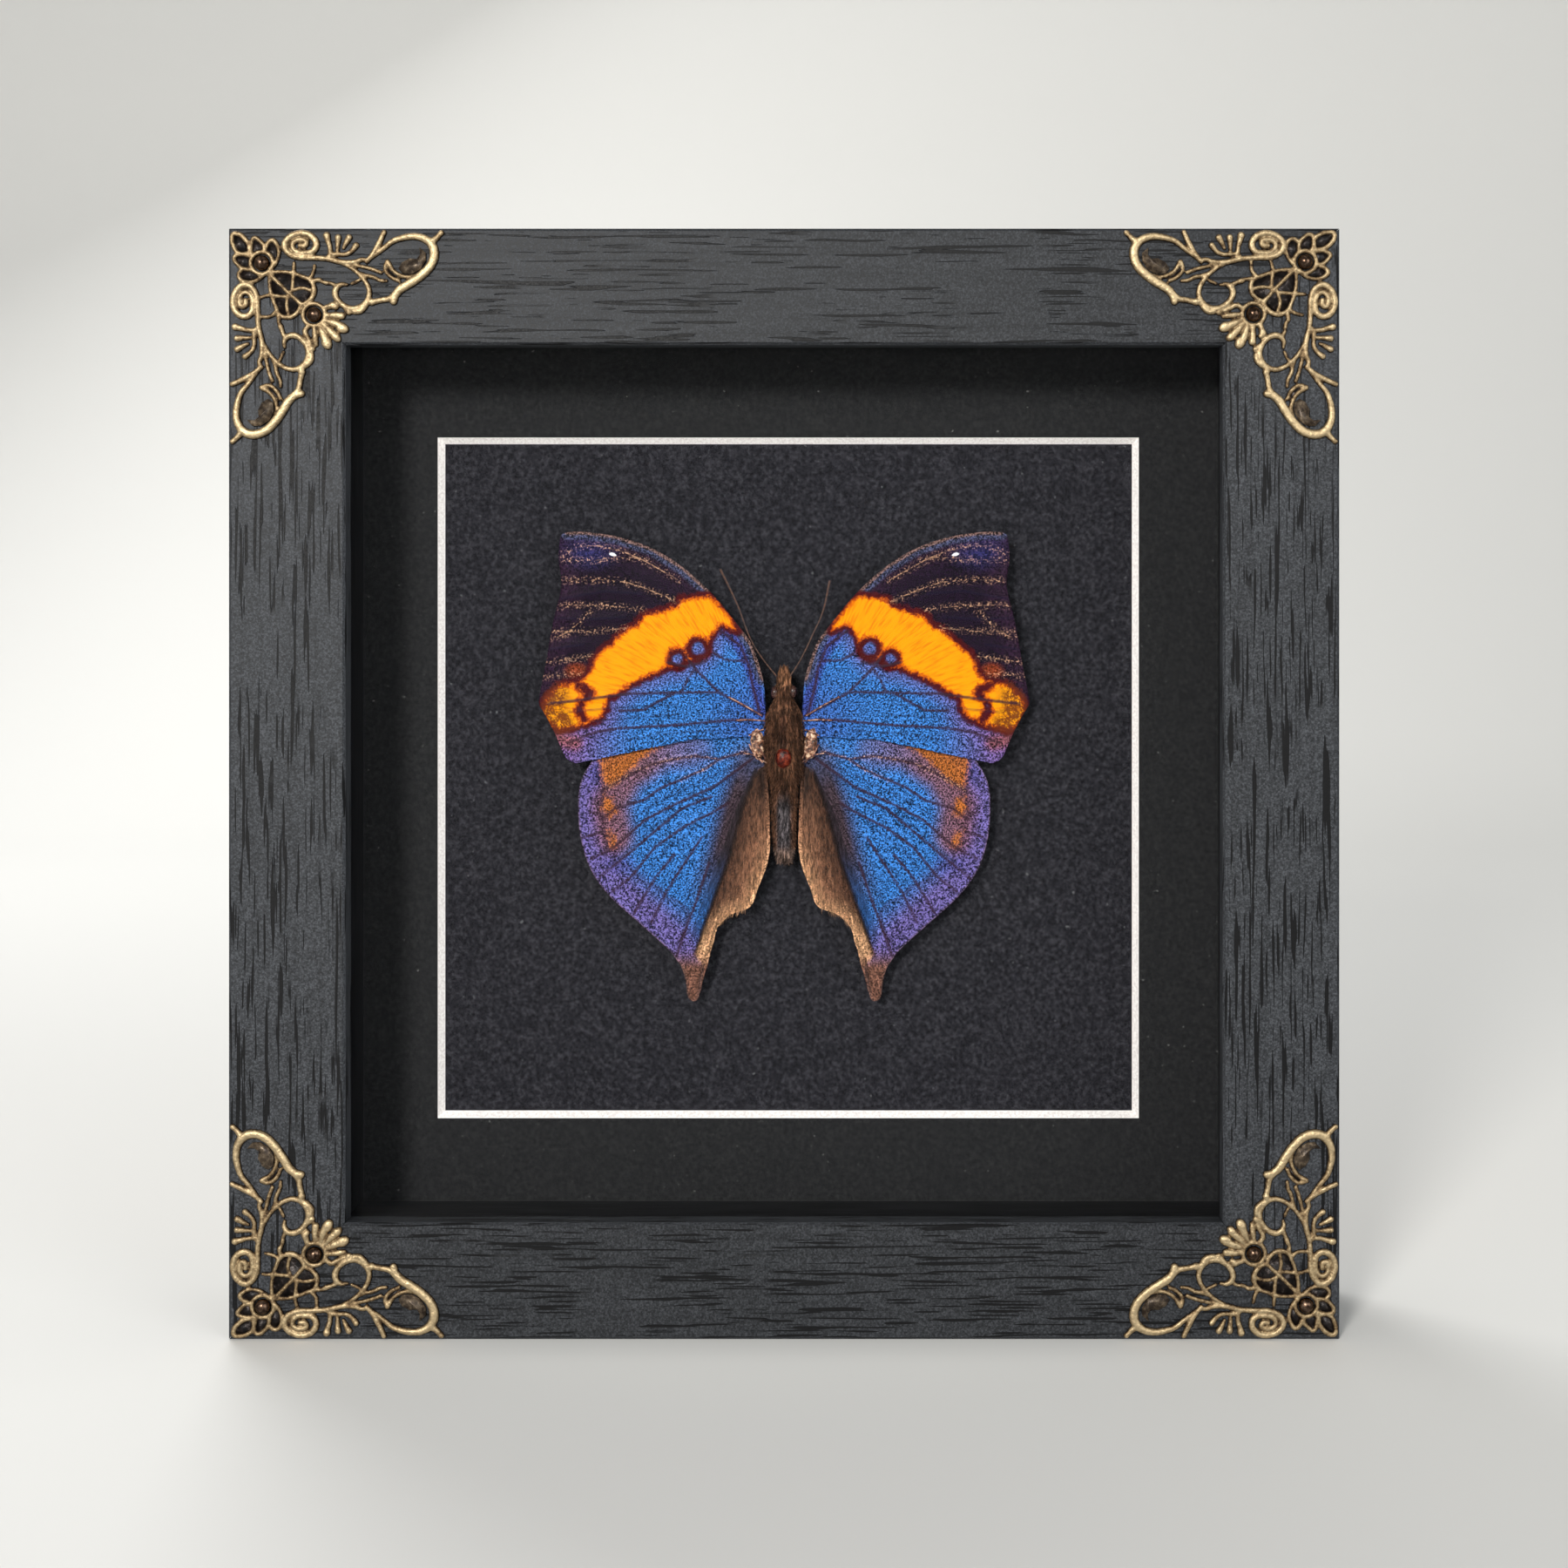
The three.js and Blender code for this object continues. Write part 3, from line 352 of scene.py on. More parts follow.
CORNER_STROKES = [
    # net: rim, diagonal and cross strands
    [(7.5, 8.0, 0.5), (9.8, 7.9, 0.5), (11.8, 8.15, 0.5), (13.3, 8.7, 0.55), (14.65, 9.25, 0.6),
     (15.3, 10.1, 0.65), (15.55, 11.1, 0.75), (15.25, 12.3, 0.75), (14.3, 13.3, 0.6), (13.2, 13.8, 0.55)],
    [(7.5, 8.0, 0.5), (7.5, 9.8, 0.5), (7.75, 11.6, 0.5), (8.15, 12.95, 0.5), (8.7, 14.4, 0.55),
     (9.3, 15.6, 0.6), (10.7, 16.1, 0.6), (11.8, 15.8, 0.6), (12.7, 14.9, 0.55), (13.2, 13.8, 0.5)],
    [(7.8, 8.6, 0.55), (11.0, 11.7, 0.55), (13.1, 13.6, 0.6)],
    [(11.9, 6.3, 0.4), (11.85, 8.0, 0.5), (11.6, 11.0, 0.5)],
    [(11.5, 11.3, 0.45), (13.3, 10.8, 0.5), (15.2, 11.3, 0.45)],
    [(5.5, 12.6, 0.4), (7.5, 12.1, 0.45), (8.6, 12.2, 0.5), (10.8, 12.4, 0.5)],
    [(10.8, 12.4, 0.45), (10.6, 14.0, 0.45), (10.9, 15.6, 0.45)],
    [(15.6, 6.8, 0.4), (15.3, 8.1, 0.45), (14.6, 9.2, 0.55)],
    [(6.0, 16.0, 0.45), (7.8, 15.8, 0.45), (8.7, 15.0, 0.55)],
    # beaded strands
    [(14.9, 9.6, 0.55), (16.5, 9.35, 0.65), (16.9, 9.6, 0.4), (17.9, 9.9, 0.6), (18.4, 9.9, 0.4),
     (19.5, 10.4, 0.6)],
    [(9.1, 15.9, 0.55), (9.2, 17.0, 0.5), (9.5, 17.7, 0.8), (9.75, 18.5, 0.6), (10.2, 19.6, 0.6)],
    # petals of the corner flower
    [(4.0, 4.9, 0.6), (3.65, 2.9, 0.6), (2.8, 1.7, 0.7), (1.8, 1.05, 0.7), (0.95, 1.15, 0.65),
     (0.75, 2.1, 0.6), (1.0, 3.3, 0.55), (1.9, 4.5, 0.6), (3.6, 4.7, 0.6)],
    [(4.1, 4.6, 0.6), (4.25, 2.7, 0.5), (4.8, 1.75, 0.55), (5.5, 2.1, 0.55), (6.4, 3.1, 0.55),
     (6.7, 4.4, 0.6)],
    [(6.9, 3.4, 0.6), (7.4, 2.5, 0.6), (8.05, 2.2, 0.75), (8.8, 2.95, 0.55), (9.15, 4.0, 0.45),
     (9.0, 5.4, 0.45), (8.4, 6.6, 0.5), (7.6, 7.3, 0.6)],
    [(3.9, 5.0, 0.6), (2.3, 4.75, 0.6), (1.35, 5.0, 0.55), (1.15, 5.6, 0.55), (1.7, 6.5, 0.55),
     (2.6, 7.25, 0.55), (4.1, 7.5, 0.55)],
    [(2.5, 7.5, 0.55), (1.95, 8.4, 0.55), (2.2, 9.2, 0.6), (3.0, 9.7, 0.6), (4.3, 9.7, 0.5), (5.4, 9.3, 0.5),
     (6.3, 8.5, 0.7)],
    # rays of the fan flower
    [(17.1, 14.4, 0.6), (18.3, 14.1, 0.9), (19.0, 13.9, 1.1), (19.4, 14.2, 0.9)],
    [(17.5, 15.7, 0.6), (19.0, 15.7, 0.95), (20.5, 15.8, 1.1)],
    [(17.4, 16.6, 0.6), (19.3, 17.2, 1.15), (20.6, 17.8, 1.3)],
    [(17.1, 17.3, 0.6), (18.5, 18.6, 1.1), (19.5, 19.6, 1.3)],
    [(16.5, 17.7, 0.6), (17.2, 19.2, 1.15), (17.8, 20.5, 1.3)],
    [(15.5, 17.7, 0.5), (15.65, 19.1, 0.8), (15.8, 20.4, 0.8)],
    [(14.6, 17.5, 0.6), (13.9, 18.6, 0.75), (14.4, 19.8, 0.65), (14.9, 20.9, 0.6)],
]

# beads on the fan's rays: across, down, radius, and how far each is drawn out along its ray
FAN_BEADS = [(19.9, 15.75, 0.45, 0.5), (20.6, 15.75, 0.5, 0.2), (20.6, 18.0, 0.95, 0.35),
             (19.5, 19.7, 0.75, 0.45), (17.8, 20.7, 0.95, 0.35), (15.8, 19.9, 0.42, 0.2),
             (15.9, 20.9, 0.45, 0.2), (13.7, 18.4, 0.42, 0.0)]
LEAF_OUTLINE = [(34.5, 3.5), (34.6, 4.8), (34.0, 5.6), (32.7, 5.5), (31.4, 6.2), (30.7, 7.3), (31.4, 8.2),
                (33.0, 8.3), (34.6, 7.5), (35.6, 5.9), (35.6, 4.5)]
LOBE_OUTLINE = [(28.7, 6.2), (28.3, 7.3), (29.2, 8.7), (30.8, 9.5), (31.6, 8.7), (30.4, 8.1), (29.4, 7.2)]
PETAL_FLOORS = [
    [(3.6, 4.7), (2.8, 1.8), (0.9, 1.2), (1.0, 3.3), (1.9, 4.5)],
    [(4.2, 4.5), (4.8, 1.8), (6.3, 3.1), (6.6, 4.4)],
    [(7.0, 4.6), (7.4, 2.6), (8.7, 2.9), (9.0, 5.3), (8.2, 6.8)],
    [(3.9, 5.0), (1.4, 5.0), (1.7, 6.4), (2.7, 7.2), (4.0, 7.2)],
    [(3.8, 7.4), (2.5, 7.5), (2.1, 9.1), (4.3, 9.6), (6.1, 8.5)],
    [(7.5, 8.0), (11.8, 8.15), (14.6, 9.3), (15.5, 11.1), (15.1, 12.4), (13.2, 13.8), (12.6, 14.9),
     (11.8, 15.7), (9.4, 15.5), (8.2, 12.9), (7.6, 10)],
]
NAIL_PLACES = [(6.1, 6.3), (15.5, 15.6)]
RING_RADIUS = 2.0
RING_WIDTH = 0.95


def corner_point(across, down, height):
    """A point of the first corner's ornament, in metres: height stands out from the frame's front."""
    return Vector((across * MM - FRAME_SIDE / 2, FRONT_Y - height * MM, FRAME_SIDE - down * MM))


def melted_height(height):
    return CASTING_SEAT + CASTING_TOP * math.tanh(MELT_GAIN * height / CASTING_TOP)


def round_wires(routes, bevel=3, smooth=8):
    """One mesh of round wires, each through a route of (place, radius) in metres."""
    curve = bpy.data.curves.new("wires", "CURVE")
    curve.dimensions = "3D"
    curve.bevel_depth = MM
    curve.bevel_resolution = bevel
    curve.resolution_u = max(smooth, 1)
    curve.use_fill_caps = True
    for route in routes:
        spline = curve.splines.new("BEZIER" if smooth else "POLY")
        knots = spline.bezier_points if smooth else spline.points
        knots.add(len(route) - 1)
        for knot, (place, radius) in zip(knots, route):
            knot.co = place if smooth else (*place, 1)
            knot.radius = radius / MM
            if smooth:
                knot.handle_left_type = "AUTO"
                knot.handle_right_type = "AUTO"
    wire = bpy.data.objects.new("wires", curve)
    scene.collection.objects.link(wire)
    bpy.context.view_layer.update()
    mesh = bpy.data.meshes.new_from_object(wire.evaluated_get(bpy.context.evaluated_depsgraph_get()))
    mesh.materials.clear()
    bpy.data.objects.remove(wire)
    return mesh


def add_ball(bm, across, down, radius, stretch=0.0, axis=(1, 0)):
    ball = bmesh.ops.create_icosphere(bm, subdivisions=3, radius=radius * MM)["verts"]
    if stretch:
        along = Vector((axis[0], 0, -axis[1])).normalized()
        for vert in ball:
            vert.co += along * vert.co.dot(along) * stretch
    bmesh.ops.translate(bm, verts=ball, vec=corner_point(across, down, 0))


def nail_ring(across, down):
    """The plain ring that the casting has round each nail."""
    ring = bmesh.new()
    section = bmesh.ops.create_circle(ring, segments=10, radius=RING_WIDTH / 2 * MM)["verts"]
    bmesh.ops.rotate(ring, verts=section, cent=(0, 0, 0), matrix=Matrix.Rotation(math.pi / 2, 3, "X"))
    bmesh.ops.translate(ring, verts=section, vec=(RING_RADIUS * MM, 0, 0))
    bmesh.ops.spin(ring, geom=ring.verts[:] + ring.edges[:], cent=(0, 0, 0), axis=(0, 0, 1),
                   angle=2 * math.pi, steps=32, use_merge=True)
    turn = Matrix.Rotation(math.pi / 2, 4, "X")
    place = Matrix.Translation(corner_point(across, down, 0))
    bmesh.ops.transform(ring, verts=ring.verts, matrix=place @ turn)
    return finished_mesh(ring, "ring")


def remeshed(mesh, voxel):
    """The mesh melted into one skin."""
    lump = bpy.data.objects.new("lump", mesh)
    scene.collection.objects.link(lump)
    melt = lump.modifiers.new("melt", "REMESH")
    melt.mode = "VOXEL"
    melt.voxel_size = voxel
    bpy.context.view_layer.update()
    skin = bpy.data.meshes.new_from_object(lump.evaluated_get(bpy.context.evaluated_depsgraph_get()))
    bpy.data.objects.remove(lump)
    return skin


def casting_mesh():
    mirrored = [[(down, across, width) for across, down, width in stroke] for stroke in ARM_STROKES]
    strokes = ARM_STROKES + mirrored + CORNER_STROKES
    routes = []
    for stroke in strokes:
        routes.append([(corner_point(across, down, 0), (width + STROKE_GAIN) / 2 * MM)
                       for across, down, width in stroke])
    bm = bmesh.new()
    bm.from_mesh(round_wires(routes))
    for stroke in strokes:
        for across, down, width in (stroke[0], stroke[-1]):
            add_ball(bm, across, down, (width + STROKE_GAIN) / 2)
    fan = NAIL_PLACES[1]
    for across, down, radius, stretch in FAN_BEADS:
        add_ball(bm, across, down, radius, stretch, (across - fan[0], down - fan[1]))
    for across, down in NAIL_PLACES:
        bm.from_mesh(nail_ring(across, down))
    bmesh.ops.recalc_face_normals(bm, faces=bm.faces)
    skin = remeshed(finished_mesh(bm, "drawn"), CASTING_VOXEL)
    bm = bmesh.new()
    bm.from_mesh(skin)
    bmesh.ops.smooth_vert(bm, verts=bm.verts, factor=0.5, use_axis_x=True, use_axis_y=True, use_axis_z=True)
    # the back half is flattened on to the wood, and the front is rounded over like a worn casting
    for vert in bm.verts:
        height = (FRONT_Y - vert.co.y) / MM
        pits = noise.noise(vert.co * 2600) * 0.045 + noise.noise(vert.co * 900) * 0.04
        if height > 0.0:
            vert.co.y = FRONT_Y - (melted_height(height) + pits) * MM
        else:
            vert.co.y = FRONT_Y - (CASTING_SEAT + BACK_SHARE * height) * MM
    return finished_mesh(bm, "casting")


def swapped(outline):
    return [(down, across) for across, down in outline]


def low_plates():
    """Thin dark webs behind the rims of petals and net, and a low dull leaf inside each teardrop."""
    bm = bmesh.new()
    leaves = [LEAF_OUTLINE, swapped(LEAF_OUTLINE)]
    for outline in PETAL_FLOORS + [LOBE_OUTLINE, swapped(LOBE_OUTLINE)] + leaves:
        top = CASTING_SEAT + (LEAF_HEIGHT if outline in leaves else WEB_HEIGHT)
        rim = [bm.verts.new(corner_point(across, down, top)) for across, down in outline]
        face = bm.faces.new(rim)
        before = set(bm.faces)
        grown = bmesh.ops.extrude_face_region(bm, geom=[face])["geom"]
        lower = [item for item in grown if isinstance(item, bmesh.types.BMVert)]
        bmesh.ops.translate(bm, verts=lower, vec=(0, (top - PLATE_FOOT) * MM, 0))
        for side in set(bm.faces) - before | {face}:
            side.material_index = 2 if outline in leaves else 1
    bmesh.ops.recalc_face_normals(bm, faces=bm.faces)
    return bm


BRASS_BRIGHT = srgb(190, 168, 130)
BRASS_MID = srgb(126, 104, 74)
BRASS_RUST = srgb(56, 40, 28)
BRASS_BLACK = srgb(18, 13, 10)


def swing(tree, pattern, amount):
    """A noise as a swing to either side of nought."""
    return math_node(tree, "MULTIPLY", math_node(tree, "SUBTRACT", pattern, 0.5), amount)


def antique_brass():
    """Bright where the relief is rubbed, rust and black in the hollows."""
    material, tree, shader = start_material("antique_brass", 0.46, 0.8)
    coordinates = tree.nodes.new("ShaderNodeTexCoord")
    split = tree.nodes.new("ShaderNodeSeparateXYZ")
    tree.links.new(coordinates.outputs["Object"], split.inputs["Vector"])
    height = math_node(tree, "SUBTRACT", FRONT_Y, split.outputs["Y"])
    height = math_node(tree, "MULTIPLY", height, 1 / (1.3 * MM))
    point = object_point(tree)
    level = math_node(tree, "ADD", height, swing(tree, add_noise(tree, point, 1300, 4, 0.7), 0.9))
    stops = [(0.1, BRASS_BLACK), (0.24, BRASS_RUST), (0.4, BRASS_MID), (0.68, BRASS_BRIGHT)]
    tree.links.new(add_ramp(tree, level, stops), shader.inputs["Base Color"])
    rough = add_ramp(tree, level, [(0.1, 0.75), (0.45, 0.55), (0.9, 0.42)])
    tree.links.new(rough, shader.inputs["Roughness"])
    add_bump(tree, shader, add_noise(tree, point, 2600, 3, 0.6), 0.6, 0.00012)
    return material


def mottled(name, stops, grain, roughness, metallic=0.0, specular=0.5, bump=None, stretch=(1, 1, 1),
            rough_stops=None):
    """A finish that runs through the stops with one noise of (scale, detail, roughness)."""
    material, tree, shader = start_material(name, roughness, metallic, specular)
    pattern = add_noise(tree, object_point(tree, stretch), *grain)
    tree.links.new(add_ramp(tree, pattern, stops), shader.inputs["Base Color"])
    if rough_stops:
        tree.links.new(add_ramp(tree, pattern, rough_stops), shader.inputs["Roughness"])
    if bump:
        add_bump(tree, shader, pattern, *bump)
    return material


PATINA = [(0.4, srgb(14, 10, 9)), (0.58, srgb(36, 28, 25)), (0.72, srgb(96, 88, 84))]
DULL_BRASS = [(0.4, srgb(52, 42, 34)), (0.58, srgb(98, 84, 68)), (0.72, srgb(146, 130, 110))]
brass_material = antique_brass()
patina_material = mottled("dark_patina", PATINA, (900, 3, 0.6), 0.42, 0.5, bump=(0.6, 0.0003))
dull_material = mottled("dull_brass", DULL_BRASS, (900, 3, 0.6), 0.42, 0.5, bump=(0.6, 0.0003))
first_casting = casting_mesh()
plates = finished_mesh(low_plates(), "plates")
for turn in range(4):
    bm = bmesh.new()
    bm.from_mesh(first_casting)
    bm.from_mesh(plates)
    quarter = Matrix.Rotation(turn * math.pi / 2, 3, "Y")
    bmesh.ops.rotate(bm, verts=bm.verts, cent=FRAME_MIDDLE, matrix=quarter)
    name = f"filigree_corner_{turn + 1}"
    ornament = place_piece(finished_mesh(bm, name, brass_material, patina_material, dull_material))
    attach(ornament, "root")
    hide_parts(f"corner_casting_{turn + 1}")


# Corner nails: dome-headed, two on each mitre line, turned in bronze that has darkened but kept a
# polish. They are driven through the castings' rings into the wood.
NAIL_HEAD_RADIUS = 1.4
NAIL_HEAD_HEIGHT = 1.45
BRIM = 0.12
SHANK_RADIUS = 0.45
SHANK_LENGTH = 3.6


def domed_nail(head_height, shank_length, facing):
    """A nail spun round Y with its seat at the origin and its dome towards facing."""
    bm = bmesh.new()
    tip = -shank_length
    profile = [(0, tip), (SHANK_RADIUS * 0.3, tip + 0.4), (SHANK_RADIUS, tip + 1.2), (SHANK_RADIUS, 0),
               (NAIL_HEAD_RADIUS * 0.93, 0), (NAIL_HEAD_RADIUS, BRIM)]
    for step in range(1, 10):
        angle = step / 9 * math.pi / 2
        height = BRIM + (head_height - BRIM) * math.sin(angle)
        profile.append((NAIL_HEAD_RADIUS * math.cos(angle), height))
    verts = [bm.verts.new((radius * MM, facing * height * MM, 0)) for radius, height in profile]
    edges = [bm.edges.new(pair) for pair in zip(verts, verts[1:])]
    bmesh.ops.spin(bm, geom=verts + edges, cent=(0, 0, 0), axis=(0, 1, 0), angle=2 * math.pi, steps=40,
                   use_merge=True)
    bmesh.ops.remove_doubles(bm, verts=bm.verts, dist=1e-6)
    bmesh.ops.recalc_face_normals(bm, faces=bm.faces)
    return bm


BRONZE = [(0.35, srgb(48, 36, 29)), (0.55, srgb(92, 72, 58)), (0.7, srgb(142, 118, 100))]
bronze_material = mottled("nail_bronze", BRONZE, (1300, 4, 0.6), 0.22, 1.0, bump=(0.12, 0.0001),
                          rough_stops=[(0.3, 0.16), (0.7, 0.38)])
for turn in range(4):
    quarter = Matrix.Rotation(turn * math.pi / 2, 3, "Y")
    for letter, (across, down) in zip("ab", NAIL_PLACES):
        bm = domed_nail(NAIL_HEAD_HEIGHT, SHANK_LENGTH, -1)
        bmesh.ops.translate(bm, verts=bm.verts, vec=corner_point(across, down, CASTING_SEAT))
        bmesh.ops.rotate(bm, verts=bm.verts, cent=FRAME_MIDDLE, matrix=quarter)
        nail = place_piece(finished_mesh(bm, f"domed_nail_{turn + 1}{letter}", bronze_material))
        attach(nail, "root")
        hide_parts(f"corner_nail_{turn + 1}{letter}")


# Pane: 2 mm clear glass, cut square and held behind the moulding's lip. It mirrors a little of the
# room and lets the rest of the light through.
def clear_pane():
    material = bpy.data.materials.new("clear_glass")
    material.use_nodes = True
    tree = material.node_tree
    tree.nodes.clear()
    output = tree.nodes.new("ShaderNodeOutputMaterial")
    mix = tree.nodes.new("ShaderNodeMixShader")
    clear = tree.nodes.new("ShaderNodeBsdfTransparent")
    clear.inputs["Color"].default_value = (0.985, 0.99, 0.988, 1)
    gloss = tree.nodes.new("ShaderNodeBsdfGlossy")
    gloss.inputs["Roughness"].default_value = 0.03
    fresnel = tree.nodes.new("ShaderNodeFresnel")
    fresnel.inputs["IOR"].default_value = 1.14
    tree.links.new(fresnel.outputs["Fac"], mix.inputs["Fac"])
    tree.links.new(clear.outputs["BSDF"], mix.inputs[1])
    tree.links.new(gloss.outputs["BSDF"], mix.inputs[2])
    tree.links.new(mix.outputs["Shader"], output.inputs["Surface"])
    return material


dress("glass_pane", clear_pane())


# Spacers: four black card-faced strips that stand the glass off the mat. The facing is brushed
# along each strip.
STRIP_TONES = [(0.35, srgb(14, 14, 15)), (0.6, srgb(34, 34, 36)), (0.75, srgb(58, 58, 60))]


def brushed_strip(name, stretch):
    return mottled(name, STRIP_TONES, (1.0, 4, 0.7), 0.55, specular=0.25, bump=(0.3, 0.0001), stretch=stretch)


level_strip = brushed_strip("level_strip", (60, 1400, 1400))
upright_strip = brushed_strip("upright_strip", (1400, 1400, 60))
for name in ("spacer_top", "spacer_bottom"):
    dress(name, level_strip)
for name in ("spacer_left", "spacer_right"):
    dress(name, upright_strip)


# Window mat: 1.4 mm board with a black paper face and a white core. The window is cut at a slant,
# so the core shows as a white line round it.
WINDOW_SIZE = (133.9 * MM, 130 * MM)
WINDOW_CENTRE = (-0.5 * MM, 99.2 * MM)
BEVEL_RUN = 1.3 * MM
FACE_PAPER = 0.12 * MM


def window_frame(rings):
    """A closed frame swept through rings of (width, height, centre, depth), the last joined to the first."""
    bm = bmesh.new()
    corners = [(-0.5, -0.5), (0.5, -0.5), (0.5, 0.5), (-0.5, 0.5)]
    verts = [bm.verts.new((x, 0, z)) for x, z in corners]
    edges = [bm.edges.new((verts[i - 1], verts[i])) for i in range(4)]
    for number, (width, height, centre, depth) in enumerate(rings + rings[:1]):
        if number:
            grown = bmesh.ops.extrude_edge_only(bm, edges=edges)["geom"]
            edges = [item for item in grown if isinstance(item, bmesh.types.BMEdge)]
            verts = [item for item in grown if isinstance(item, bmesh.types.BMVert)]
        middle = centre if number else (0, 0)
        for vert in verts:
            half_across = math.copysign(0.5, vert.co.x - middle[0])
            half_up = math.copysign(0.5, vert.co.z - middle[1])
            vert.co = (centre[0] + half_across * width, depth, centre[1] + half_up * height)
    bmesh.ops.remove_doubles(bm, verts=bm.verts, dist=1e-6)
    bmesh.ops.recalc_face_normals(bm, faces=bm.faces)
    return bm


def flecked_card(name, tones, roughness, fibre_scale, speck_scale, speck_stops, speck_colour, bump):
    material, tree, shader = start_material(name, roughness, specular=0.15)
    point = object_point(tree)
    fibre = add_noise(tree, point, fibre_scale, 5, 0.7)
    specks = add_ramp(tree, add_noise(tree, point, speck_scale, 2, 0.5), speck_stops)
    colour = mix_colour(tree, specks, add_ramp(tree, fibre, tones), speck_colour)
    tree.links.new(colour, shader.inputs["Base Color"])
    add_bump(tree, shader, fibre, *bump)
    return material


BLACK_CARD = [(0.3, srgb(20, 20, 21)), (0.5, srgb(31, 31, 32)), (0.7, srgb(46, 46, 46))]
WHITE_CORE = [(0.35, srgb(230, 222, 219)), (0.6, srgb(255, 250, 247))]
black_card = flecked_card("black_card", BLACK_CARD, 0.85, 1500, 1050, [(0.72, 0.0), (0.77, 1.0)],
                          srgb(92, 92, 90), (0.45, 0.00012))
white_core = mottled("white_core", WHITE_CORE, (2200, 4, 0.6), 0.8, bump=(0.2, 0.00008))
mat_low, mat_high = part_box("window_mat")
mat_size = (mat_high.x - mat_low.x, mat_high.z - mat_low.z)
mat_centre = ((mat_low.x + mat_high.x) / 2, (mat_low.z + mat_high.z) / 2)
paper_step = FACE_PAPER * BEVEL_RUN / (mat_high.y - mat_low.y)
cut_edge = (WINDOW_SIZE[0] - 2 * paper_step, WINDOW_SIZE[1] - 2 * paper_step)
window_foot = (WINDOW_SIZE[0] - 2 * BEVEL_RUN, WINDOW_SIZE[1] - 2 * BEVEL_RUN)
bm = window_frame([
    (*mat_size, mat_centre, mat_high.y),
    (*mat_size, mat_centre, mat_low.y),
    (*WINDOW_SIZE, WINDOW_CENTRE, mat_low.y),
    (*cut_edge, WINDOW_CENTRE, mat_low.y + FACE_PAPER),
    (*window_foot, WINDOW_CENTRE, mat_high.y),
])
for face in bm.faces:
    centre = face.calc_center_median()
    sloped = 0.1 < abs(face.normal.y) < 0.9
    face.material_index = 1 if sloped and centre.y > mat_low.y + FACE_PAPER else 0
mat = place_piece(finished_mesh(bm, "bevelled_mat", black_card, white_core, smooth=False))
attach(mat, "root")
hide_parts("window_mat")


# Backing board: dark grey card with a faint violet cast, cut to the rebate and seen through the
# window. The butterfly is fixed to it by a pad of cork.
GREY_BOARD = [(0.36, srgb(17, 16, 20)), (0.5, srgb(32, 31, 36)), (0.64, srgb(54, 53, 58))]
dress("backing_board", flecked_card("grey_board", GREY_BOARD, 0.9, 1300, 900, [(0.70, 0.0), (0.76, 1.0)],
                                    srgb(88, 88, 90), (0.5, 0.00015)))


# Back panel: pressed fibreboard, cut to the rebate and held in by eight steel points that are
# pushed into slots in the wood.
FIBRE_TONES = [(0.35, srgb(112, 80, 52)), (0.5, srgb(146, 110, 76)), (0.65, srgb(176, 142, 104))]


def fibreboard():
    material, tree, shader = start_material("fibreboard", 0.85)
    point = object_point(tree)
    cloud = add_noise(tree, point, 60, 4, 0.6)
    fleck = add_noise(tree, point, 1600, 3, 0.7)
    tone = weighed(tree, cloud, 0.15, fleck, 0.85)
    tree.links.new(add_ramp(tree, tone, FIBRE_TONES), shader.inputs["Base Color"])
    add_bump(tree, shader, fleck, 0.3, 0.0001)
    return material


def pressed_steel(name, tint):
    dark = tuple(value * 0.7 for value in tint[:3]) + (1,)
    return mottled(name, [(0.35, dark), (0.65, tint)], (1.0, 3, 0.6), 0.35, 1.0, bump=(0.15, 0.00005),
                   stretch=(300, 300, 2400), rough_stops=[(0.3, 0.28), (0.7, 0.48)])


dress("back_panel", fibreboard())
steel_material = pressed_steel("tab_steel", srgb(176, 176, 172))
for number in range(1, 9):
    dress(f"retaining_tab_{number}", steel_material)


# Hanger: a brass-plated sawtooth strip, stamped from sheet, with two small steel nails that fix it
# to the back of the top rail.
HANGER_NAIL_GAP = 0.05
HANGER_SHANK_LENGTH = 3.4

dress("hanger_plate", pressed_steel("hanger_brass", srgb(206, 176, 112)))
plate_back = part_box("hanger_plate")[1].y
for side_name in ("left", "right"):
    low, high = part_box(f"hanger_nail_{side_name}")
    head_height = (high.y - plate_back) / MM - HANGER_NAIL_GAP
    bm = domed_nail(head_height, HANGER_SHANK_LENGTH, 1)
    seat = Vector(((low.x + high.x) / 2, plate_back + HANGER_NAIL_GAP * MM, (low.z + high.z) / 2))
    bmesh.ops.translate(bm, verts=bm.verts, vec=seat)
    nail = place_piece(finished_mesh(bm, f"plate_nail_{side_name}", steel_material))
    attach(nail, "root")
    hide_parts(f"hanger_nail_{side_name}")


# Wings: dead membranes spread flat and coated with scales. Blue scales shine, orange and purple ones
# are dull, and bare veins stand up as fine ridges. Curves are in millimetres on the butterfly's
# left side: out from the body's axis, up from the thorax.
SPECIMEN_CENTRE = Vector((-1.1 * MM, 3.7 * MM, 103.3 * MM))
WING_RINGS = 96
OUTLINE_STEP = 0.42
MEMBRANE = 0.12
WING_BOW = 0.5
WING_REACH = 46
HINDWING_SETBACK = 0.95
SAG_DEPTH = 0.14
SAG_WIDTH = 1.1
FOLD_LOWER = 0.3


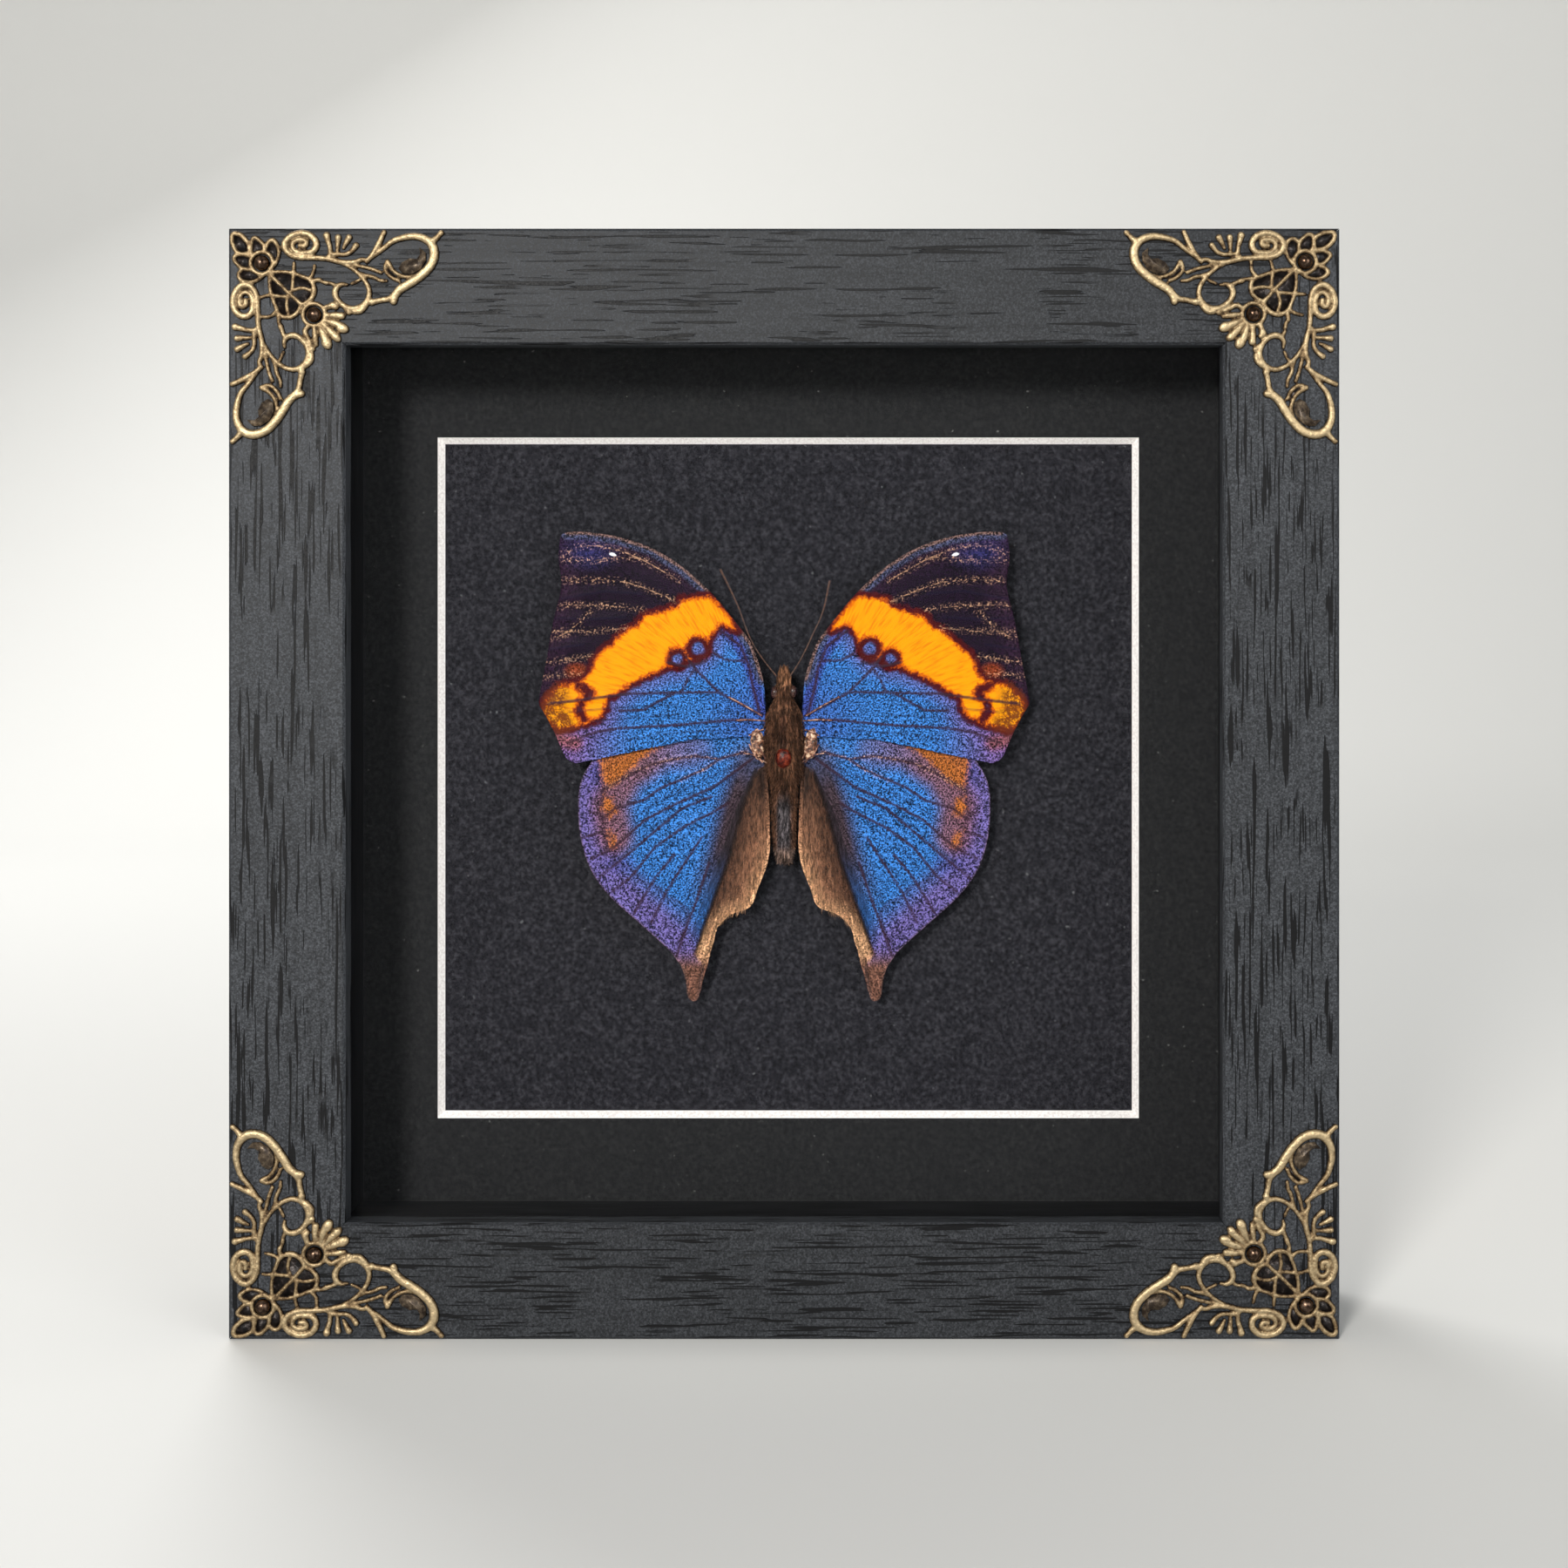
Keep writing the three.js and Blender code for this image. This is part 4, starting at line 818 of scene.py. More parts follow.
def smooth_outline(points, spacing):
    """Extra points on a soft closed curve through the drawn ones."""
    drawn = np.array(points, float)
    before = np.roll(drawn, 1, 0)
    after = np.roll(drawn, -1, 0)
    gap_before = np.linalg.norm(drawn - before, axis=1)
    gap_after = np.linalg.norm(after - drawn, axis=1)
    run = after - before
    slope = run / np.linalg.norm(run, axis=1)[:, None] * np.minimum(gap_before, gap_after)[:, None]
    route = []
    for i in range(len(drawn)):
        j = (i + 1) % len(drawn)
        steps = max(1, round(gap_after[i] / spacing))
        for share in np.arange(steps) / steps:
            ease = share * share * (3 - 2 * share)
            route.append(drawn[i] * (1 - ease) + drawn[j] * ease
                         + slope[i] * share * (1 - share) ** 2 - slope[j] * share * share * (1 - share))
    return np.array(route)


def distance_to(points, line):
    """How far each point lies from the nearest place on a line."""
    nearest = np.full(len(points), 1000.0)
    for start, end in zip(line, line[1:]):
        start = np.array(start)
        run = np.array(end) - start
        share = np.clip((points - start) @ run / (run @ run), 0, 1)
        nearest = np.minimum(nearest, np.linalg.norm(points - start - share[:, None] * run, axis=1))
    return nearest


def distance_to_any(points, lines):
    return np.minimum.reduce([distance_to(points, line) for line in lines])


def depth_inside(points, outline):
    """How far each point lies inside a closed outline; less than nothing outside it."""
    closed = list(outline) + [outline[0]]
    inside = np.zeros(len(points), bool)
    for (x0, z0), (x1, z1) in zip(closed, closed[1:]):
        spans = (z0 > points[:, 1]) != (z1 > points[:, 1])
        crossing = x0 + (points[:, 1] - z0) * (x1 - x0) / (z1 - z0 + 1e-9)
        inside ^= spans & (points[:, 0] < crossing)
    return distance_to(points, closed) * np.where(inside, 1, -1)


def paint(colours, weight, colour):
    weight = np.clip(weight, 0, 1)[:, None]
    return colours * (1 - weight) + np.array(colour[:3]) * weight


def fade(distance, start, end):
    """1 up to the start distance, falling softly to 0 at the end distance."""
    share = np.clip((end - distance) / (end - start), 0, 1)
    return share * share * (3 - 2 * share)


BLUE = srgb(44, 96, 160)
DEEP_BLUE = srgb(46, 54, 118)
VIOLET = srgb(94, 66, 112)
AUBERGINE = srgb(24, 12, 28)
SLATE = srgb(56, 60, 84)
COSTA_BROWN = srgb(96, 74, 70)
ORANGE = srgb(232, 150, 0)
MAROON = srgb(70, 10, 16)
RUST = srgb(150, 62, 16)
GOLD_SCALE = srgb(226, 174, 136)
HAIR_BROWN = srgb(70, 44, 33)
HAIR_TAN = srgb(146, 102, 77)
CREAM_EDGE = srgb(206, 158, 118)
OCHRE = srgb(150, 84, 28)
PLUM = srgb(56, 32, 52)
LEATHER = srgb(122, 66, 48)
MAUVE_BROWN = srgb(104, 68, 74)
SCALLOP_SHADE = srgb(42, 24, 44)
FOLD_SHADOW = srgb(54, 36, 30)
ROOT_BLUE = srgb(60, 74, 110)
BODY_SHADOW = srgb(48, 32, 26)
CREASE_SHADE = srgb(34, 20, 18)
TAIL_BROWN = srgb(98, 66, 54)

FOREWING_ROOT = (3.5, 6.4)
FOREWING_OUTLINE = [
    (3.6, 9.6), (4, 15), (6.1, 21.4), (9.1, 25.6), (13.6, 31), (19, 35.9), (25, 39.6), (31.6, 41.8),
    (38, 42.7), (41, 42.6), (42, 42.2), (42.4, 41), (42.6, 37.5), (42.1, 32.3), (43.8, 25), (45, 18),
    (46.4, 10.6), (45.3, 8.4), (43.3, 4.6), (41.3, 0.2), (39.2, -1), (33.2, 0.9), (26.7, 2.3),
    (20.1, 3.5), (13.6, 3.6), (7.8, 4), (3.8, 4.2),
]
BAND_UPPER = [(14.1, 30.9), (17.7, 30.3), (19.5, 30.2), (20.4, 28.8), (23.8, 27.7), (26.8, 27.0),
              (28.1, 25.1), (30.5, 23.9), (32.6, 21.8), (35.1, 20.0), (36.3, 17.9), (36.7, 16.4),
              (37.6, 15.3), (39.3, 14.4), (42.4, 14.0), (44.9, 11.7)]
BAND_LOWER = [(8.7, 23.7), (11.9, 24.9), (13.6, 22.8), (14.6, 20.2), (16.4, 18.5), (18.3, 18.4),
              (20.4, 17.0), (22.0, 17.0), (23.8, 16.0), (26.8, 14.8), (29.9, 13.0), (31.7, 11.8),
              (33.2, 11.1), (33.5, 9.1), (34.8, 7.3), (38.1, 6.0), (42.3, 5.0)]
BAND_CRESCENTS = [
    [(39.0, 13.7), (37.2, 12.9), (36.5, 12.2), (37.2, 11.4)],
    [(38.3, 10.4), (38.7, 8.7), (37.5, 7.2)],
]
BAND_OUTER_END = [(46.0, 8.6), (44.2, 5.8)]
BAND_INNER_END = [(9.6, 26.2), (12.0, 29.2)]
BAND_MOTTLE = [(43.8, 12.2), (44.2, 8.6), (41.6, 5.4)]
COSTA_SHADE = [(12.2, 25.6), (8.6, 21.4), (6.3, 16.8), (5.4, 13.6), (4.2, 8.7)]
CORNER_STREAK = [(44.3, 5.0), (41.6, 3.2), (39.5, 2.8)]
SPOT_RIMS = [(16.2, 20.6, 2.0), (20.1, 18.7, 1.75)]
FORE_VEINS = [
    [(44.6, 10.2), (39.1, 10.8), (33.2, 11.6), (29.3, 12.1), (21.4, 12.3), (12.6, 12.4)],
    [(40.7, 2.8), (35.8, 4.8), (31.2, 5.6), (20.1, 6.2), (10.4, 7.1), (5.8, 7.2)],
    [(16.9, 16.7), (18.2, 14.9), (19.2, 12.6), (21.4, 11.9), (23.7, 10.6), (26.7, 9.0), (31.2, 8.9)],
    [(13.3, 19.8), (11.0, 18.5), (7.4, 18.3)],
    [(12.0, 24.0), (8.1, 21.1), (6.4, 16.8), (5.9, 13.6), (4.6, 8.7)],
    [(22.0, 18.0), (18.4, 17.2), (14.6, 18.2)],
]
FORE_STEM = [(4.2, 8.0), (12.3, 12.4), (16.6, 16.7), (18.5, 19.1)]
FORE_GOLD = [
    [(42.4, 38.3), (38.7, 40.0), (34.8, 40.0), (30.3, 38.9), (26.7, 37.4), (20, 33.6)],
    [(42.4, 37.4), (36.5, 37.3), (32.2, 37.7), (28.6, 37.9), (26.0, 37.2)],
    [(42.3, 33.5), (34.2, 33.6), (29.9, 33.2), (26.7, 32.2), (22.4, 30.5), (20.1, 29.2)],
    [(42.6, 28.6), (41.3, 28.9), (33.2, 28.7), (26.7, 28.0)],
    [(43.8, 22.6), (41.3, 23.4), (38.7, 25.6), (36.5, 27.9)],
    [(43.6, 23.8), (36.5, 23.9), (29.9, 24.5)],
    [(45.0, 18.0), (41, 18.6), (36.5, 19.2)],
    [(45.8, 15.2), (41, 15.8), (38.5, 15.9)],
]
FORE_FOLDS = [
    [(42.5, 30), (34, 31.5), (27, 31)],
    [(43.5, 26.4), (36, 26.2), (30, 26.6)],
    [(45, 20.4), (38, 21.4)],
    [(40.6, 8.6), (33, 9.4), (26, 9.8), (20, 10.2)],
    [(36, 6.9), (28, 7.6), (20, 8.2)],
    [(30, 3.4), (22, 4.6), (13, 5.2)],
]
HYALINE_SPOT = [(33.2, 38.75), (32.5, 38.9), (31.7, 38.6), (31.6, 38.1), (32.4, 38.0), (33.1, 38.3)]

HINDWING_ROOT = (3.6, 1.6)
HINDWING_OUTLINE = [
    (3.9, 3.2), (8, 5), (16, 5.4), (26, 4.4), (33.5, 2.2), (36.6, -1), (38.6, -5), (39, -10), (38.4, -16),
    (36.5, -21.5), (33, -26.3), (27.4, -31.4), (22, -36.3), (19.8, -39.2), (19.1, -40.7), (18.6, -42.8),
    (18.4, -44.8), (17.9, -45.9), (17.1, -46.2), (16.4, -45.8), (16.1, -44.6), (15.9, -42.8),
    (15.5, -40.4), (14.9, -36.8), (13.4, -33.2), (10.2, -29.8), (6.4, -28.2),
    (4.9, -24.6), (3.4, -20.8), (2.7, -17), (2.8, -11), (3.2, -4),
]
HIND_PATCHES = [
    [(35.4, 0.6), (32, 2.9), (25, 4.9), (20.8, 3.4), (26.7, -0.6), (31.9, -5.6), (34.1, -6.2), (35.3, -3.0)],
    [(34.4, -6.8), (32.2, -7.4), (31.3, -10.4), (33.0, -12.0), (34.9, -10.3)],
    [(34.0, -13.2), (32.4, -13.6), (31.0, -16.2), (32.2, -17.6), (33.5, -17.0)],
]
SCALLOP = [(35.3, -3.0), (34.2, -5.9), (35.0, -10.3), (34.2, -12.6), (34.1, -15.1), (33.5, -17.0),
           (31.9, -17.7), (32.2, -19.9), (30.2, -20.3), (28.2, -21.8), (27.4, -23.2), (25.2, -24.0),
           (23.7, -24.7), (22.3, -26.5), (20.1, -27.3), (18.2, -29.1), (18.6, -32.4), (20.1, -35.0)]
HIND_VEINS = [
    [(7.2, 1.1), (10.5, 0.2), (12.3, -0.3), (17.1, 0.3), (21.2, -0.4), (25.2, -1.3), (28.9, -3.0),
     (34.6, -6.4)],
    [(12.3, -0.3), (14.9, -2.1), (19.3, -4.1), (23.0, -5.6), (26.7, -8.1), (31.9, -9.6), (34.8, -11.8)],
    [(5.7, 0.0), (13.4, -5.6), (20.8, -8.9), (26.3, -11.8), (32.2, -17.0), (36.6, -19.2)],
    [(13.8, -7.4), (19.3, -9.6), (24.5, -14.0), (30.7, -19.2), (35.2, -22.9)],
    [(10.5, -8.5), (13.4, -10.3), (19.3, -13.3), (24.5, -17.0), (28.9, -22.5), (32.6, -25.4)],
    [(15.6, -15.1), (19.3, -20.7), (22.3, -25.4), (25.2, -31.3)],
    [(20.8, -18.4), (24.5, -22.9), (28.5, -29.5)],
    [(14.2, -19.9), (16.4, -26.5), (18.6, -32.4), (20.4, -37.6)],
    [(36.8, -10.4), (34.9, -10.6)],
    [(38.2, -15.2), (34.3, -14.0)],
]
HIND_FOLDS = [
    [(8, -1), (16, -4.6), (24, -8.4), (31, -13)],
    [(9, -3), (17, -8.2), (25, -13.5), (33, -20.6)],
    [(16, -12.6), (22, -17), (29, -25)],
    [(17.6, -17.6), (23, -24.6), (26.6, -30)],
    [(16, -21.4), (19, -28), (22.6, -34)],
]
ANAL_CREASE = [(5.4, -2.4), (7.9, -9.2), (10.5, -19.2), (13.2, -26.5), (15.6, -33.0), (17.0, -37.4)]
TAIL_START = -38.6
BROWN_ARC = [(17, 1.6), (23, 1.4), (30, -3.2), (33, -9), (32, -15)]
FOLD_FIELD = ANAL_CREASE + [(15, -40), (4, -32), (0, -20), (1, 0)]
UNMARKED = -9.0


def forewing_fields(points, margin):
    """Colour of the ground, and how far each point lies from the marks drawn on it."""
    out, up = points[:, 0], points[:, 1]
    above = distance_to(points, BAND_UPPER)
    below = distance_to(points, BAND_LOWER)
    apex = above < below
    from_root = np.hypot(out - FOREWING_ROOT[0], up - FOREWING_ROOT[1])
    colours = np.tile(np.array(BLUE[:3]), (len(points), 1))
    colours = paint(colours, fade(from_root, 1.5, 15) * 0.55, DEEP_BLUE)
    colours = paint(colours, fade(below, 0.5, 4.5) * 0.5, VIOLET)
    colours = paint(colours, (1 - fade(out, 27, 41)) * 0.9, VIOLET)
    colours = paint(colours, fade(distance_to(points, COSTA_SHADE), 0.6, 1.6) * 0.85, DEEP_BLUE)
    colours[apex] = AUBERGINE[:3]
    colours = paint(colours, apex * fade(np.hypot(out - 37, (up - 39.2) * 1.7), 0.5, 8) * 0.4, DEEP_BLUE)
    colours = paint(colours, apex * fade(margin, 0.5, 6) * 0.3, PLUM)
    for spot_out, spot_up, radius in SPOT_RIMS:
        turn = np.arctan2(up - spot_up, out - spot_out)
        wobbly = radius * (1 + 0.1 * np.sin(3 * turn + spot_out))
        ring = np.abs(np.hypot(out - spot_out, up - spot_up) - wobbly)
        colours = paint(colours, fade(ring, 0.4, 1.0), MAROON)
    colours = paint(colours, fade(np.hypot(out - 39.2, (up - 16.4) * 1.5), 1, 3) * 0.55, RUST)
    costa = distance_to(points, FOREWING_OUTLINE[1:10])
    colours = paint(colours, fade(costa, 1.0, 1.7) * 0.9, SLATE)
    colours = paint(colours, fade(costa, 0.35, 0.6), COSTA_BROWN)
    colours = paint(colours, fade(distance_to(points, CORNER_STREAK), 0.3, 2.4) * 0.7, LEATHER)
    band = BAND_UPPER + BAND_OUTER_END + BAND_LOWER[::-1] + BAND_INNER_END
    reach = depth_inside(points, band)
    for crescent in BAND_CRESCENTS:
        reach = np.minimum(reach, distance_to(points, crescent) - 0.5)
    for spot_out, spot_up, radius in SPOT_RIMS:
        reach = np.minimum(reach, np.hypot(out - spot_out, up - spot_up) - radius)
    return {
        "ground": colours,
        "band": reach,
        "mottle": fade(distance_to(points, BAND_MOTTLE), 0.6, 4.2),
        "vein": distance_to_any(points, FORE_VEINS + [FORE_STEM]),
        "gold": distance_to_any(points, FORE_GOLD),
        "patch": np.full(len(points), UNMARKED),
        "sheen": np.maximum(1 - apex, fade(costa, 1.2, 1.8)),
        "fold": distance_to_any(points, FORE_FOLDS),
        "hair": np.zeros(len(points)),
        "white": depth_inside(points, HYALINE_SPOT),
    }


def hindwing_fields(points, margin):
    out, up = points[:, 0], points[:, 1]
    crease = distance_to(points, ANAL_CREASE)
    inner = depth_inside(points, FOLD_FIELD) > 0
    colours = np.tile(np.array(BLUE[:3]), (len(points), 1))
    colours = paint(colours, fade(distance_to(points, HINDWING_OUTLINE[4:14]), 3.2, 9) * 0.75, VIOLET)
    colours = paint(colours, fade(distance_to(points, SCALLOP[:9]), 0.6, 3.0) * 0.35, DEEP_BLUE)
    arc_share = np.clip((out - 8) / 20, 0, 0.9)
    colours = paint(colours, fade(distance_to(points, BROWN_ARC), 1.6, 5.2) * arc_share, MAUVE_BROWN)
    colours = paint(colours, fade(distance_to(points, SCALLOP), 0.12, 0.5) * 0.6, SCALLOP_SHADE)
    colours = paint(colours, ~inner * fade(crease, 2.2, 6.5) * fade(-up, 16, 34) * 0.95, FOLD_SHADOW)
    colours = paint(colours, fade(np.hypot(out - 4, up - 1), 2, 9) * 0.5, ROOT_BLUE)
    colours = paint(colours, inner * 1.0, HAIR_TAN)
    colours = paint(colours, inner * fade(crease, 0.6, 4.6) * 0.85, HAIR_BROWN)
    colours = paint(colours, inner * fade(np.abs(out - 3.9), 0.4, 1.7) * fade(-up, 4, 16) * 0.85, BODY_SHADOW)
    colours = paint(colours, inner * fade(margin, 0.3, 3.4) * fade(up, -24, -12) * 0.8, CREAM_EDGE)
    # painted shade: a dark line along the anal crease
    colours = paint(colours, fade(crease, 0.15, 0.6) * 0.85, CREASE_SHADE)
    colours = paint(colours, fade(up - TAIL_START, -1.5, 3.0), TAIL_BROWN)
    colours = paint(colours, fade(margin, 0.05, 0.4) * ~inner * 0.6, COSTA_BROWN)
    patch = np.maximum.reduce([depth_inside(points, patch) for patch in HIND_PATCHES])
    hair = np.maximum(inner * 1.0, ~inner * fade(crease, 1.6, 4.8) * fade(-up, 14, 33))
    hair = np.maximum(hair, fade(up - TAIL_START, -1.5, 2.0))
    return {
        "ground": colours,
        "band": np.full(len(points), UNMARKED),
        "mottle": np.zeros(len(points)),
        "vein": np.where(inner, 9.0, distance_to_any(points, HIND_VEINS)),
        "gold": distance_to_any(points, [HIND_VEINS[0], HIND_VEINS[1][:3]]) + 0.12,
        "patch": patch,
        "sheen": 1 - np.clip(hair + fade(-patch, -0.3, 0.5), 0, 1),
        "fold": distance_to_any(points, HIND_FOLDS),
        "hair": hair,
        "white": np.full(len(points), UNMARKED),
    }


def read_field(tree, name, output="Fac"):
    """A value kept at each point of the mesh."""
    node = tree.nodes.new("ShaderNodeAttribute")
    node.attribute_name = name
    return node.outputs[output]


def wing_material(name):
    material, tree, shader = start_material(name, 0.6, specular=0.05)
    point = object_point(tree)
    grain = add_noise(tree, point, 3000, 2, 0.8)
    clumps = add_noise(tree, point, 900, 3, 0.6)
    rays = add_noise(tree, read_field(tree, "rays", "Vector"), 1.0, 3, 0.6)
    # scales: bright flecks among dark ones
    fleck = add_ramp(tree, grain, [(0.38, 0.04), (0.49, 0.6), (0.58, 2.3)])
    soft_fleck = add_ramp(tree, grain, [(0.4, 0.3), (0.5, 0.95), (0.59, 1.8)])
    flecks = mix_colour(tree, read_field(tree, "sheen"), soft_fleck, fleck)
    strand = add_ramp(tree, rays, [(0.34, 0.42), (0.5, 0.95), (0.66, 1.6)])
    soft_strand = add_ramp(tree, rays, [(0.3, 0.86), (0.7, 1.14)])
    strands = mix_colour(tree, read_field(tree, "hair"), soft_strand, strand)
    lit = multiplied(tree, multiplied(tree, read_field(tree, "ground", "Color"), flecks), strands)
    # orange band: a ragged edge with a maroon and rust fringe, mottled towards the outer corner
    ragged = math_node(tree, "ADD", swing(tree, clumps, 3.4), swing(tree, grain, 3.6))
    reach = math_node(tree, "ADD", read_field(tree, "band"), math_node(tree, "MULTIPLY", ragged, 0.5))
    reach = math_node(tree, "MULTIPLY", math_node(tree, "ADD", reach, 2.0), 0.25)
    fringe_stops = [(0.3, MAROON), (0.5, MAROON), (0.57, RUST), (0.64, srgb(208, 96, 4)), (0.73, ORANGE)]
    streaks = add_ramp(tree, rays, [(0.36, (0.86, 0.62, 0.3, 1)), (0.52, 1.0), (0.7, 1.04)])
    orange = multiplied(tree, add_ramp(tree, reach, fringe_stops), streaks)
    mottle = math_node(tree, "MULTIPLY", read_field(tree, "mottle"), math_node(tree, "ADD", ragged, -0.75))
    mottle = add_ramp(tree, math_node(tree, "MULTIPLY", mottle, -1.0), [(0.0, 0.0), (0.7, 0.9)])
    orange = mix_colour(tree, mottle, orange, srgb(92, 36, 18))
    colour = mix_colour(tree, add_ramp(tree, reach, [(0.24, 0.0), (0.38, 0.94), (0.48, 1.0)]), lit, orange)
    # ochre patches
    patch = math_node(tree, "ADD", read_field(tree, "patch"), math_node(tree, "MULTIPLY", ragged, 0.7))
    ochre = multiplied(tree, OCHRE, add_ramp(tree, grain, [(0.41, 0.2), (0.5, 0.8), (0.58, 2.0)]))
    colour = mix_colour(tree, add_ramp(tree, patch, [(0.0, 0.0), (1.2, 0.92)]), colour, ochre)
    # veins, folds, gold dust along the outer veins, and the clear spot
    vein = math_node(tree, "ADD", read_field(tree, "vein"), swing(tree, clumps, 0.3))
    colour = mix_colour(tree, add_ramp(tree, vein, [(0.12, 0.85), (0.42, 0.0)]), colour, srgb(48, 28, 40))
    fold = add_ramp(tree, read_field(tree, "fold"), [(0.05, 0.45), (0.35, 0.0)])
    colour = mix_colour(tree, fold, colour, srgb(22, 20, 44))
    gold_line = add_ramp(tree, read_field(tree, "gold"), [(0.03, 0.62), (0.14, 0.0)])
    broken = add_ramp(tree, clumps, [(0.42, 0.15), (0.56, 1.0)])
    gold_line = math_node(tree, "MULTIPLY", broken, gold_line)
    gold_dust = add_ramp(tree, read_field(tree, "gold"), [(0.15, 0.9), (1.0, 0.0)])
    specks = add_ramp(tree, grain, [(0.58, 0.0), (0.66, 1.0)])
    gold_dust = math_node(tree, "MULTIPLY", gold_dust, specks)
    colour = mix_colour(tree, math_node(tree, "MAXIMUM", gold_line, gold_dust, True), colour, GOLD_SCALE)
    white = add_ramp(tree, read_field(tree, "white"), [(0.0, 0.0), (0.15, 1.0)])
    colour = mix_colour(tree, white, colour, srgb(238, 240, 250))
    tree.links.new(colour, shader.inputs["Base Color"])
    tree.links.new(add_ramp(tree, grain, [(0.35, 0.62), (0.65, 0.4)]), shader.inputs["Roughness"])
    ridge = add_ramp(tree, read_field(tree, "vein"), [(0.0, 1.0), (0.4, 0.0)])
    height = math_node(tree, "ADD", weighed(tree, grain, 0.35, rays, 0.35), ridge)
    add_bump(tree, shader, height, 0.5, 0.00012)
    return material


def store_ground(mesh, colours):
    """Keep a colour at each point of the mesh, for its material to read."""
    layer = mesh.attributes.new("ground", "FLOAT_COLOR", "POINT")
    opaque = np.column_stack([colours, np.ones(len(colours))])
    layer.data.foreach_set("color", opaque.astype(np.float32).ravel())


def shrunk_rings(outline, root):
    """The wing's outline filled with rings that shrink towards its root, as flat faces."""
    bm = bmesh.new()
    ring = [bm.verts.new((out, 0, up)) for out, up in outline]
    edges = [bm.edges.new((ring[i - 1], ring[i])) for i in range(len(ring))]
    centre = Matrix.Translation((-root[0], 0, -root[1]))
    for step in range(1, WING_RINGS + 1):
        grown = bmesh.ops.extrude_edge_only(bm, edges=edges)["geom"]
        ring = [item for item in grown if isinstance(item, bmesh.types.BMVert)]
        edges = [item for item in grown if isinstance(item, bmesh.types.BMEdge)]
        smaller = (WING_RINGS - step) / (WING_RINGS - step + 1)
        bmesh.ops.scale(bm, verts=ring, vec=(smaller, smaller, smaller), space=centre)
    bmesh.ops.remove_doubles(bm, verts=bm.verts, dist=1e-5)
    return bm


def wing_bow(reach):
    """How far the wing bows forward, by the distance from the specimen's centre."""
    return WING_BOW * np.sin(np.minimum(1, reach / WING_REACH) * math.pi)


def build_wing(name, root, outline, fields_of, side, setback, slot):
    """One wing: a thin membrane that bows forward and sags between its veins and folds."""
    rim = smooth_outline(outline, OUTLINE_STEP)
    bm = shrunk_rings(rim, root)
    points = np.array([(vert.co.x, vert.co.z) for vert in bm.verts])
    margin = distance_to(points, list(rim) + [rim[0]])
    fields = fields_of(points, margin)
    from_ridges = np.minimum(fields["vein"], fields["fold"] + FOLD_LOWER)
    sag = SAG_DEPTH * (1 - np.exp(-(from_ridges / SAG_WIDTH) ** 2))
    lift = wing_bow(np.hypot(points[:, 0], points[:, 1])) - sag * np.clip(margin / 1.5, 0.2, 1)
    for vert, (out, up), rise in zip(bm.verts, points, lift):
        vert.co = SPECIMEN_CENTRE + Vector((side * out, setback - rise, up)) * MM
    bmesh.ops.recalc_face_normals(bm, faces=bm.faces)
    if sum(face.normal.y for face in bm.faces) > 0:
        bmesh.ops.reverse_faces(bm, faces=bm.faces)
    mesh = finished_mesh(bm, name, wing_material(f"{slot}_{name}"))
    store_ground(mesh, fields.pop("ground"))
    for field_name, values in fields.items():
        layer = mesh.attributes.new(field_name, "FLOAT", "POINT")
        layer.data.foreach_set("value", np.asarray(values, np.float32))
    angle = np.arctan2(points[:, 1] - root[1], points[:, 0] - root[0] + 1e-6)
    from_root = np.hypot(points[:, 0] - root[0], points[:, 1] - root[1])
    rays = np.column_stack([np.cos(angle) * 70, np.sin(angle) * 70, from_root * 0.35])
    layer = mesh.attributes.new("rays", "FLOAT_VECTOR", "POINT")
    layer.data.foreach_set("vector", rays.astype(np.float32).ravel())
    wing = place_piece(mesh)
    membrane = wing.modifiers.new("membrane", "SOLIDIFY")
    membrane.thickness = MEMBRANE * MM
    membrane.offset = -1
    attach(wing, "root")
    return wing


for side_name, side in (("left", -1), ("right", 1)):
    forewing = build_wing(f"{side_name}_forewing_scaled", FOREWING_ROOT, FOREWING_OUTLINE,
                          forewing_fields, side, 0, "forewing_scales")
    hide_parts(f"{side_name}_forewing")
    hindwing = build_wing(f"{side_name}_hindwing_scaled", HINDWING_ROOT, HINDWING_OUTLINE,
                          hindwing_fields, side, HINDWING_SETBACK, "hindwing_scales")
    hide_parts(f"{side_name}_hindwing")


# Fold hairs: long fine hair that grows on the inner fold of each hindwing, brown with a cream edge.
# It lies along the wing and lifts a little at the tips.
FOLD_HAIRS = 4200
FOLD_HAIR_RADII = (0.042, 0.01)
FOLD_HAIR_LENGTHS = (0.8, 2.2)
FOLD_HAIR_LIFTS = (0.08, 0.35)
FOLD_HAIR_SEAT = 0.98
FOLD_HAIR_TURN = 0.12
FOLD_REACH = (-33, -2)
hair_rng = random.Random(5)


def hair_material():
    material, tree, shader = start_material("fold_hair", 0.5, specular=0.2)
    strands = add_noise(tree, object_point(tree, (1, 1, 0.25)), 2600, 3, 0.7)
    shade = add_ramp(tree, strands, [(0.38, 0.3), (0.5, 0.95), (0.62, 1.8)])
    colour = multiplied(tree, read_field(tree, "ground", "Color"), shade)
    tree.links.new(colour, shader.inputs["Base Color"])
    return material


